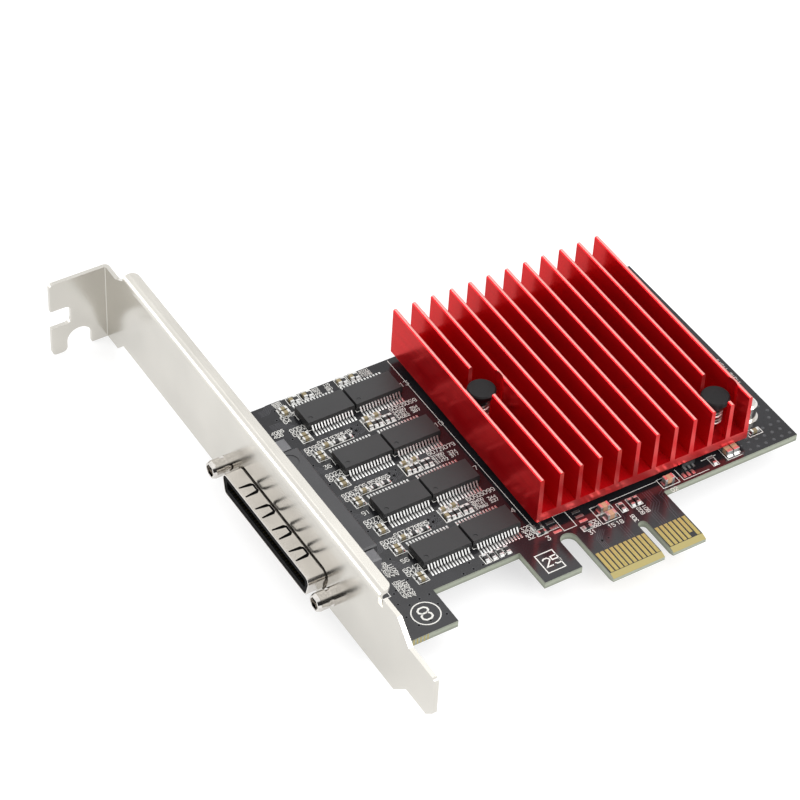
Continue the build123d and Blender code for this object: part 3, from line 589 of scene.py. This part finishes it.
def filled_vias():
    """Places of the filled vias in the board's far corner, in staggered rows round the small part there."""
    places = [(84.9 + column * 1.85 + (row % 2) * 0.9, 14.4 + row * 1.75) for row in range(6) for column in range(7)]
    return [
        (x, y)
        for x, y in places
        if x < 96.2 and not (88.4 < x < 94.2 and y > 18.6) and not (89.0 < x < 92.2 and y > 16.4)
    ]


class CARD_OT_lay_copper(bpy.types.Operator):
    """Lay the traces and vias that show through the mask"""

    bl_idname = "card.lay_copper"
    bl_label = "Traces and vias"

    def execute(self, context):
        sizes = context.scene.card_sizes
        covered = mask_on_copper(context.scene.card_colours)
        fine = sizes.trace_pitch / MM
        wide = sizes.edge_pitch / MM
        traces = bmesh.new()
        for runs, starts, pitch in (
            (ROW_RUNS, ROW_YS, fine),
            (GAP_RUNS, ROW_YS[1:], fine),
            (TAB_RUNS, (0.0,), fine),
            (EDGE_RUNS, (0.0,), wide),
        ):
            for start in starts:
                for points, count in runs:
                    line = [(x, start + y) for x, y in points]
                    trace_bundle(traces, line, count, pitch, sizes.trace_width / MM)
        finish_shape(traces, "copper_traces", covered)

        places = list(VIAS)
        for vias, starts in ((ROW_VIAS, ROW_YS), (GAP_VIAS, ROW_YS[1:])):
            places += [(x, start + y) for start in starts for x, y in vias]
        rings = bmesh.new()
        holes = bmesh.new()
        hole = sizes.via_hole / MM
        ring = sizes.via_ring / MM
        for x, y in places:
            ribbon(rings, circle_points(x, y, (ring + hole) / 2), ring - hole, TRACE_Z, True)
            # Each hole is a near black disc of painted shade
            disc(holes, x, y, hole, HOLE_Z)
        for x, y in filled_vias():
            dome(rings, x, y, 0.36, 0.05, 0.005)
        finish_shape(rings, "via_rings", covered, True)
        finish_shape(holes, "via_holes", painted_via_shade())
        return {"FINISHED"}


# Printed frames by two corners, and printed lines. Those of a row of drivers, and of the bank of small parts
# below it, are set off from the drivers' centre line
ROW_FRAMES = ((14.75, 2.7, 17.0, 5.0), (14.75, -5.2, 17.0, -2.9))
ROW_LINES = [((x, 3.0), (x, 0.7)) for x in (17.2, 27.75)]
ROW_LINES += [((x, -0.7), (x, -2.75), (x + 1.1, -2.75)) for x in (17.2, 27.75)]
BANK_FRAMES = (
    (17.05, -8.4, 19.15, -7.2), (19.35, -8.4, 21.45, -7.2), (21.65, -8.4, 23.75, -7.2), (27.1, -8.35, 30.5, -5.95),
    (30.85, -8.35, 33.05, -5.95), (27.1, -5.75, 29.1, -4.85), (29.3, -5.75, 31.3, -4.85),
)
BANK_LINES = [((x, -8.15), (x + 0.9, -8.15)) for x in (27.35, 28.45, 29.55)]
FRAMES = (
    (17.7, 66.45, 20.2, 68.4), (20.5, 66.45, 23.1, 68.4), (28.3, 66.45, 30.65, 68.4), (30.95, 66.45, 33.3, 68.4),
    (27.75, 13.95, 28.95, 16.25), (29.25, 13.95, 30.45, 16.25), (7.3, 15.65, 8.85, 17.1), (39.7, 16.45, 41.8, 17.75),
    (39.7, 15.0, 41.8, 16.3), (44.6, 13.95, 47.3, 18.0), (47.6, 12.0, 49.8, 13.15), (51.7, 14.25, 55.6, 16.3),
    (51.7, 11.85, 55.6, 14.05), (56.5, 12.5, 57.75, 14.9), (58.7, 12.65, 59.9, 15.0), (59.9, 12.65, 61.1, 15.0),
    (66.6, 13.9, 70.3, 16.3), (78.2, 14.1, 79.5, 16.6), (81.5, 14.1, 84.8, 17.7), (88.7, 17.0, 91.7, 18.6),
)
LINES = (((71.2, 17.0), (71.2, 13.9), (77.0, 13.9)), ((76.8, 16.4), (80.2, 16.4)))
GUIDES = (((40.15, 15.6), (40.15, 68.3)), ((56.0, 16.1), (66.4, 16.1)), ((41.0, 15.2), (44.4, 15.2)))
# Numbers whose last figures count up: how they start, x, and height over the drivers' centre line
ROW_TAGS = (("60", 14.0, 6.1), ("60", 14.0, 5.05), ("60", 14.0, -1.65), ("60", 14.0, -2.7), ("", 14.9, 0.55))
TOP_ROW_TAGS = (("60", 14.4, 2.15), ("60", 14.2, -1.65), ("60", 14.2, -2.8), ("", 14.4, 1.0))
BANK_TAGS = (("60", 17.15, -6.95), ("3", 19.9, -6.95), ("3", 22.0, -6.95), ("60", 33.4, -5.65), ("60", 36.2, -5.65))
# Other numbers, by their lower left corner, with a height where it differs
NUMBERS = (
    ("13", 38.7, 60.6, 1.1), ("10", 38.7, 48.1, 1.05), ("7", 38.9, 34.9, 1.05), ("4", 38.9, 22.3, 1.05),
    ("408", 10.75, 60.0, 0.75), ("4086", 10.75, 60.95, 0.75), ("325", 37.7, 17.45, 0.9), ("326", 37.7, 16.3, 0.9),
    ("327", 37.7, 15.15, 0.9), ("3", 40.7, 13.35, 1.0), ("31", 48.2, 10.8, 0.85), ("02", 67.6, 12.4, 0.85),
    ("64", 85.4, 18.2, 0.85),
)
FINE_NUMBERS = (("15", 52.2, 10.4, 0.85), ("18", 54.0, 10.4, 0.85))
UPRIGHT_NUMBERS = (
    ("338", 31.65, 14.0), ("359", 32.55, 14.0), ("380", 33.45, 14.0), ("604", 50.4, 11.9), ("604", 51.3, 11.9),
    ("306", 57.9, 9.4), ("602", 60.0, 10.4), ("601", 61.2, 10.4), ("77310", 96.2, 30.0), ("77319", 96.2, 34.3),
)


class CARD_OT_print_board(bpy.types.Operator):
    """Print the white outlines and plain numbers on the board"""

    bl_idname = "card.print_board"
    bl_label = "Print"

    def execute(self, context):
        sizes = context.scene.card_sizes
        line = sizes.print_line / MM
        guide = sizes.guide_line / MM
        stroke = sizes.print_stroke / MM
        fine = sizes.fine_stroke / MM
        tall = sizes.figure_height / MM
        upright = sizes.upright_height / MM
        lines = bmesh.new()
        words = bmesh.new()
        for starts, frames, paths in (
            (ROW_YS, ROW_FRAMES, ROW_LINES),
            (ROW_YS[1:], BANK_FRAMES, BANK_LINES),
            ((0.0,), FRAMES, LINES),
        ):
            for start in starts:
                for low_x, low_y, high_x, high_y in frames:
                    outline_box(lines, low_x, start + low_y, high_x, start + high_y, line)
                for path in paths:
                    ribbon(lines, [(x, start + y) for x, y in path], line, PRINT_Z)
        for path in GUIDES:
            ribbon(lines, path, guide, PRINT_Z)

        count = itertools.count(11 + sizes.legend_step, sizes.legend_step)
        tags = [(y, tag) for y in ROW_YS[:-1] for tag in ROW_TAGS] + [(ROW_YS[-1], tag) for tag in TOP_ROW_TAGS]
        for y, (first, x, rise) in tags:
            figures(words, first + str(next(count) % 90 + 10), x, y + rise, tall, stroke)
        for y in ROW_YS[1:]:
            for first, x, rise in BANK_TAGS:
                figures(words, first + str(next(count) % 90 + 10), x, y + rise, tall, stroke)
            # Small figures beside each bank
            for n in range(3):
                figures(words, "3" + str(next(count) * 37 % 9000 + 1000), 33.5, y - 8.3 + n * 0.83, 0.62, 0.1)
            for n in range(2):
                figures(words, "3" + str(next(count) % 90 + 10), 36.9, y - 8.1 + n * 0.9, 0.68, 0.11)

        # The bank above the top row, in small dense figures
        for x, digits in ((23.4, 3), (25.9, 3), (33.6, 5)):
            for n in range(3):
                figures(words, str(next(count) * 913 % 90000 + 10000)[:digits], x, 66.45 + n * 0.68, 0.5, 0.09)
        for n in range(3):
            figures(words, "60" + str(next(count) % 90 + 10), 15.0 - n * 0.1, 66.8 + n * 0.6, 0.5, 0.09)

        # Two blocks of long numbers that read up the board beside the port
        for start, digits in ((13.7, (7, 7, 7)), (19.4, (7, 6, 5))):
            for n, x in enumerate((11.45, 12.25, 13.1)):
                text = str(next(count) * 7919 % 9000000 + 1000000)[: digits[n]]
                figures(words, text, x, start + (2 - n) * 0.12, 0.72, fine, True)

        for numbers, width in ((NUMBERS, stroke), (FINE_NUMBERS, fine)):
            for text, x, y, height in numbers:
                figures(words, text, x, y, height, width)
        for text, x, y in UPRIGHT_NUMBERS:
            figures(words, text, x, y, upright, fine, True)

        # Generic marks on the two tabs: a ring with a plain figure, and a framed pair of figures
        ribbon(lines, circle_points(12.15, 9.2, 2.65, 48), 0.24, PRINT_Z, True)
        figures(words, "8", 11.05, 7.8, 2.9, 0.36)
        outline_box(lines, 36.3, 6.6, 40.0, 11.2, 0.22)
        figures(words, "25", 36.95, 7.9, 2.0, 0.28)

        ink = screen_ink(context.scene.card_colours)
        finish_shape(lines, "print_outlines", ink)
        finish_shape(words, "print_numbers", ink)
        return {"FINISHED"}


class CARD_OT_plate_contacts(bpy.types.Operator):
    """Plate the edge contacts and the cut plating bars in gold"""

    bl_idname = "card.plate_contacts"
    bl_label = "Edge contacts"

    def execute(self, context):
        gold = hard_gold(context.scene.card_colours)
        dress(gold, "edge_contacts_component_side", "edge_contacts_solder_side")
        bars = bmesh.new()
        for n in range(5):
            x = 7.0 + n * 0.72
            prism(bars, corners(x, 4.985, x + 0.26, 5.02), -1.5, -0.08, "Z")
        finish_shape(bars, "plating_bars", gold)
        return {"FINISHED"}


class CARD_OT_dress_bracket(bpy.types.Operator):
    """Plate the bracket in satin nickel"""

    bl_idname = "card.dress_bracket"
    bl_label = "Bracket"

    def execute(self, context):
        dress(satin_nickel(context.scene.card_colours), "bracket")
        return {"FINISHED"}


class CARD_OT_dress_port(bpy.types.Operator):
    """Finish the port's shell, insulator, contacts, housing, lugs and pins"""

    bl_idname = "card.dress_port"
    bl_label = "Port"

    def execute(self, context):
        colours = context.scene.card_colours
        dress(stamped_shell(colours), "port_shell")
        # Liquid crystal polymer, injection moulded: black, with a dull even face
        dress(moulded("polymer_black_moulded", linear("#080808"), 0.75, 0.15, 0.003, 0.12), "port_insulator")
        # Glass filled polyester, injection moulded: dark grey with a slightly mottled matt face
        dress(moulded("polyester_glass_filled_moulded", colours.housing, 0.45, 0.18, 0.004), "port_body")
        # Zinc alloy, die cast and tumbled: mid grey with a soft frosted face
        dress(moulded("zinc_die_cast_tumbled", colours.lug, 0.5, 0.25, 0.006), "port_lug_lower", "port_lug_upper")
        # A thin flash of gold over nickel, deep in the slot, its colour darkened to 0.3 as painted shade of the slot
        dress(hard_gold(colours, "gold_flash_painted_shade", 0.3), "port_contacts")
        dress(bright_tin(colours, "solder_wave_dipped"), "port_pins")
        return {"FINISHED"}


class CARD_OT_dress_jack_posts(bpy.types.Operator):
    """Finish the turned jack posts and their nuts"""

    bl_idname = "card.dress_jack_posts"
    bl_label = "Jack posts"

    def execute(self, context):
        dress(turned_nickel(context.scene.card_colours), "jack_post_lower", "jack_post_upper", "jack_nuts")
        return {"FINISHED"}


class CARD_OT_dress_heat_sink(bpy.types.Operator):
    """Dye the heat sink red"""

    bl_idname = "card.dress_heat_sink"
    bl_label = "Heat sink"

    def execute(self, context):
        dress(red_anodise(context.scene.card_colours), "heatsink")
        return {"FINISHED"}


class CARD_OT_dress_push_pins(bpy.types.Operator):
    """Finish the nylon push pins and their springs"""

    bl_idname = "card.dress_push_pins"
    bl_label = "Push pins"

    def execute(self, context):
        # Nylon 66, injection moulded: black with a soft sheen
        nylon = moulded("nylon_black_moulded", linear("#0C0C0E"), 0.55, 0.3, 0.005, 0.3)
        dress(nylon, "push_pin_left", "push_pin_right")
        # Music wire, cold drawn and coiled: grey metal with a hard gleam along each turn
        wire = stamped_shell(context.scene.card_colours, "music_wire_cold_drawn", 0.26)
        dress(wire, "pin_spring_left", "pin_spring_right")
        return {"FINISHED"}


# Side view of the solder at a driver's lead, from the lead's toe outwards and up from its pad
TOE_FILLET = ((0.0, -0.01), (0.62, -0.01), (0.58, 0.03), (0.3, 0.06), (0.08, 0.12), (0.0, 0.14))
LEAD_TOE = 3.89
LEAD_HALF = 0.15


class CARD_OT_dress_drivers(bpy.types.Operator):
    """Finish the driver chips, their leads, pads and solder"""

    bl_idname = "card.dress_drivers"
    bl_label = "Driver chips"

    def execute(self, context):
        sizes = context.scene.card_sizes
        colours = context.scene.card_colours
        # Silica filled epoxy, transfer moulded in a spark eroded die: charcoal with a fine even grain
        epoxy = moulded("epoxy_transfer_moulded", colours.epoxy, 0.5, 0.12, 0.006)
        tin = bright_tin(colours)
        dress(epoxy, *[f"driver_chip_{n}" for n in range(1, 9)])
        dress(tin, *[f"driver_leads_{n}" for n in range(1, 9)])
        pads = bmesh.new()
        solder = bmesh.new()
        half = sizes.pad_width / MM / 2
        offsets = [(n - (LEADS - 1) / 2) * LEAD_PITCH for n in range(LEADS)]
        for y, chip, offset, side in itertools.product(ROW_YS, CHIP_XS, offsets, (-1, 1)):
            x = chip + offset
            low, high = sorted((y + side * sizes.pad_near / MM, y + side * sizes.pad_far / MM))
            slab(pads, x - half, low, x + half, high, PAD_Z)
            profile = [(y + side * (LEAD_TOE + out), PAD_Z + rise) for out, rise in TOE_FILLET]
            prism(solder, profile, x - LEAD_HALF, x + LEAD_HALF, "X")
        finish_shape(pads, "driver_pads", tin)
        finish_shape(solder, "driver_solder", bright_tin(colours, "solder_reflowed"))
        return {"FINISHED"}


# Forms of the small parts: length, width, height, length of a tinned end and reach of its solder
FORMS = {
    "capacitor": (1.6, 0.8, 0.75, 0.38, 0.32),
    "resistor": (1.6, 0.8, 0.45, 0.38, 0.32),
    "bulk": (2.0, 1.25, 1.25, 0.5, 0.4),
}
BARE_PADS = [(x, y, 1.7, 0.62) for x in (43.45, 49.05) for y in (16.95, 15.7, 14.4)]
BARE_PADS += [(x, 14.9, 0.6, 1.2) for x in (71.9, 72.9, 73.95)]


def small_parts():
    """Places of the small parts: kind, x, y and whether it lies along the board."""
    places = [("capacitor", 15.8, y + rise, True) for y in ROW_YS for rise in (3.3, 4.4, -4.6, -3.5)]
    for y in ROW_YS[1:]:
        places.append(("capacitor", 18.1, y - 7.78, True))
        places += [("resistor", x, y - 7.78, True) for x in (20.4, 22.7)]
        places += [("capacitor", x, y - 5.35, True) for x in (28.1, 30.3)]
        places.append(("capacitor", 27.9, y - 7.15, False))
        places += [("resistor", x, y - 7.15, False) for x in (29.0, 30.1, 31.5, 32.6)]
    for x in (18.4, 21.3, 28.9, 31.6):
        places += [("capacitor", x, 67.4, False), ("resistor", x + 1.1, 67.4, False)]
    places += [("resistor", x, 15.1, False) for x in (28.4, 29.9, 31.4, 32.9)]
    places += [("resistor", x, y, False) for x, y in ((59.3, 13.9), (60.5, 13.9), (57.1, 13.7), (78.8, 15.3))]
    places += [("resistor", x, y, True) for x, y in ((40.8, 17.2), (40.8, 15.7), (48.7, 12.6))]
    places.append(("capacitor", 90.2, 17.8, True))
    places += [("bulk", x, y, True) for x, y in ((53.9, 15.0), (53.9, 12.8), (68.4, 15.1))]
    places += [("bulk", x, 15.9, False) for x in (82.4, 83.9)]
    return places


class CARD_OT_fit_small_parts(bpy.types.Operator):
    """Fit the small capacitors and resistors with tinned ends and solder"""

    bl_idname = "card.fit_small_parts"
    bl_label = "Small parts"

    def execute(self, context):
        colours = context.scene.card_colours
        lift = context.scene.card_sizes.solder_height / MM
        # Edges are broken by 0.05 mm, an end overlaps its body by 0.02 mm and stands 0.03 mm proud of it
        broken, overlap, proud = 0.05, 0.02, 0.03
        bodies = {kind: bmesh.new() for kind in FORMS}
        ends = {kind: bmesh.new() for kind in FORMS}
        solder = bmesh.new()
        for kind, x, y, level in small_parts():
            long, wide, high, cap, run = FORMS[kind]
            middle = (long - 2 * cap + overlap, wide - proud)
            block(bodies[kind], x, y, *(middle if level else middle[::-1]), high - proud, broken)
            rise = min(lift, high * 0.7)
            half = wide / 2 - 0.02
            for side in (-1, 1):
                shift = side * (long - cap) / 2
                size = (cap + overlap, wide) if level else (wide, cap + overlap)
                block(ends[kind], x + shift * level, y + shift * (not level), *size, high, broken)
                # Side view of the solder, from inside the end outwards and up
                fillet = (
                    (-0.02, 0.0), (run, 0.0), (run * 0.9, 0.04),
                    (run * 0.4, rise * 0.35), (run * 0.1, rise * 0.8), (-0.02, rise),
                )
                along, beside = (x, y) if level else (y, x)
                profile = [(along + side * (long / 2 + out), up) for out, up in fillet]
                prism(solder, profile, beside - half, beside + half, "Y" if level else "X")
        # Glazed thick film on alumina, printed and fired: a black glassy top
        glaze = moulded("thick_film_glazed", linear("#1C1C1E"), 0.3, 0.3, 0.002)
        dull = fired_ceramic("ceramic_layered_fired", colours.ceramic)
        pale = fired_ceramic("ceramic_layered_fired_pale", colours.ceramic_bulk)
        tinned = bright_tin(colours, "tin_barrel_plated", 0.05)
        for kind, look, slot, node in (
            ("capacitor", dull, "ceramic_capacitor", "line_capacitors"),
            ("resistor", glaze, "ceramic_resistor", "line_resistors"),
            ("bulk", pale, "ceramic_capacitor", "bulk_capacitors"),
        ):
            body = finish_shape(bodies[kind], f"{kind}_bodies", look)
            finish_shape(ends[kind], f"{kind}_ends", tinned)
            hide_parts(node)
        # Bare pads of parts that aren't fitted, tinned and domed
        pads = bmesh.new()
        for x, y, wide, deep in BARE_PADS:
            block(pads, x, y, wide, deep, 0.06, 0.025)
        finish_shape(pads, "bare_pads", tinned)
        finish_shape(solder, "small_part_solder", bright_tin(colours, "solder_fillet_reflowed"))
        return {"FINISHED"}


class CARD_OT_dress_hidden_parts(bpy.types.Operator):
    """Finish the controller, its pad and the regulator"""

    bl_idname = "card.dress_hidden_parts"
    bl_label = "Controller and regulator"

    def execute(self, context):
        # Silica filled epoxy again, in a smoother die
        dress(moulded("epoxy_fine_moulded", linear("#2B2B2D"), 0.42, 0.1, 0.004), "controller_chip", "regulator")
        matt = bright_tin(context.scene.card_colours, "tin_matt_plated", 0.12)
        dress(matt, "controller_leads", "regulator_leads")
        # Silicone filled with ceramic powder, calendered: soft grey blue with a waxy face
        dress(moulded("silicone_calendered", linear("#8C98A6"), 0.6, 0.6, 0.01), "thermal_pad")
        return {"FINISHED"}


class CARD_OT_dress_crystal(bpy.types.Operator):
    """Finish the crystal's drawn can"""

    bl_idname = "card.dress_crystal"
    bl_label = "Crystal"

    def execute(self, context):
        # Nickel silver, deep drawn and resistance welded to its rim: a pale mirror with slight waves
        dress(stamped_shell(context.scene.card_colours, "nickel_silver_deep_drawn", 0.14), "crystal")
        return {"FINISHED"}


def soft_light(name, place, aim, size, power):
    data = bpy.data.lights.new(name, "AREA")
    data.shape = "RECTANGLE"
    data.size, data.size_y = size
    data.energy = power
    lamp = bpy.data.objects.new(name, data)
    lamp.location = place
    lamp.rotation_euler = (Vector(place) - Vector(aim)).to_track_quat("Z", "Y").to_euler()
    bpy.context.scene.collection.objects.link(lamp)


def studio_tent():
    """A white tent, open low down at its front, with a bright panel above a dim seam at its back.

    The polished metal mirrors the opening as a dark band, and the card's flat faces mirror the panel and seam.
    """
    world = bpy.data.worlds.new("studio")
    world.use_nodes = True
    tree = world.node_tree
    around = add(tree, "TexCoord", out="Generated")
    front, behind = [
        add(tree, "VectorMath", (around, Vector(way)), "Value", operation="DOT_PRODUCT")
        for way in ((-0.4, -0.86, 0.32), (0.41, 0.58, 0.705))
    ]
    tent = add(tree, "ValToRGB", (front,), stops=tints(WHITE, 1.0, 0.03, 0.8, 0.93))
    height = add(tree, "SeparateXYZ", (around,), "Z")
    seam = add(tree, "ValToRGB", (height,), stops=tints(WHITE, 1.0, 0.2, 0.65, 0.675))
    panel = add(tree, "ValToRGB", (height,), stops=tints(WHITE, 1.0, 8.5, 0.69, 0.73))
    both = add(tree, "Mix", {"Factor": 1.0, "A": seam, "B": panel}, "Result", data_type="RGBA", blend_type="MULTIPLY")
    patch = add(tree, "ValToRGB", (behind,), stops=tints(WHITE, 0.0, 1.0, 0.95, 0.98))
    back_wall = add(tree, "Mix", {"Factor": patch, "A": WHITE, "B": both}, "Result", data_type="RGBA")
    mixed = {"Factor": 1.0, "A": tent, "B": back_wall}
    walls = add(tree, "Mix", mixed, "Result", data_type="RGBA", blend_type="MULTIPLY")
    fill(tree, tree.nodes["Background"], {"Color": walls, "Strength": 1.28})
    return world


class CARD_OT_stage(bpy.types.Operator):
    """Set the pale floor, the soft lights and the camera"""

    bl_idname = "card.stage"
    bl_label = "Stage"

    def execute(self, context):
        scene = context.scene
        half = scene.card_sizes.floor_size / 2
        # The card lies on the floor, with a hair's breadth between them
        ground = CAD_BOX[0][2] - 0.02 * MM
        mesh = bpy.data.meshes.new("floor")
        mesh.from_pydata([(x, y, ground) for x, y in corners(-half, -half, half, half)], [], [(0, 1, 2, 3)])
        mesh.materials.append(studio_floor(scene.card_colours))
        floor = bpy.data.objects.new("floor", mesh)
        scene.collection.objects.link(floor)

        scene.world = studio_tent()
        scene.view_settings.view_transform = "Standard"
        soft_light("key", (0.32, -0.8, 0.75), (0.04, 0.04, 0.0), (0.8, 0.5), 6.0)
        soft_light("rim", (-0.68, 0.62, 0.36), (0.0, 0.05, 0.0), (0.35, 0.35), 1.5)

        # Solved from the standard sizes of the bracket and the edge connector in the photograph
        data = bpy.data.cameras.new("camera")
        data.lens = 129.1
        data.sensor_width = 36.0
        data.clip_start = 0.01
        camera = bpy.data.objects.new("camera", data)
        right = (0.851693, -0.522544, 0.039566)
        up = (0.335240, 0.601321, 0.725275)
        back = (-0.402781, -0.604448, 0.687321)
        turn = Matrix((right, up, back)).transposed().to_4x4()
        camera.matrix_world = Matrix.Translation((-0.181539, -0.269623, 0.372242)) @ turn
        scene.collection.objects.link(camera)
        scene.camera = camera
        return {"FINISHED"}


STEPS = (
    CARD_OT_dress_board,
    CARD_OT_lay_copper,
    CARD_OT_print_board,
    CARD_OT_plate_contacts,
    CARD_OT_dress_bracket,
    CARD_OT_dress_port,
    CARD_OT_dress_jack_posts,
    CARD_OT_dress_heat_sink,
    CARD_OT_dress_push_pins,
    CARD_OT_dress_drivers,
    CARD_OT_fit_small_parts,
    CARD_OT_dress_hidden_parts,
    CARD_OT_dress_crystal,
    CARD_OT_stage,
)


class CARD_PT_panel(bpy.types.Panel):
    """Lists the card's sizes, colours and steps in the sidebar"""

    bl_idname = "CARD_PT_panel"
    bl_label = "Serial port card"
    bl_space_type = "VIEW_3D"
    bl_region_type = "UI"
    bl_category = "Card"

    def draw(self, context):
        for group in (context.scene.card_sizes, context.scene.card_colours):
            for key in group.__annotations__:
                self.layout.prop(group, key)
        for step in STEPS:
            self.layout.operator(step.bl_idname)


CLASSES = (CardSizes, CardColours) + STEPS + (CARD_PT_panel,)


def register():
    for made in CLASSES:
        bpy.utils.register_class(made)
    bpy.types.Scene.card_sizes = PointerProperty(type=CardSizes)
    bpy.types.Scene.card_colours = PointerProperty(type=CardColours)


def unregister():
    del bpy.types.Scene.card_colours
    del bpy.types.Scene.card_sizes
    for made in reversed(CLASSES):
        bpy.utils.unregister_class(made)


def main():
    register()
    for step in STEPS:
        group, call = step.bl_idname.split(".")
        getattr(getattr(bpy.ops, group), call)()


if __name__ == "__main__":
    main()
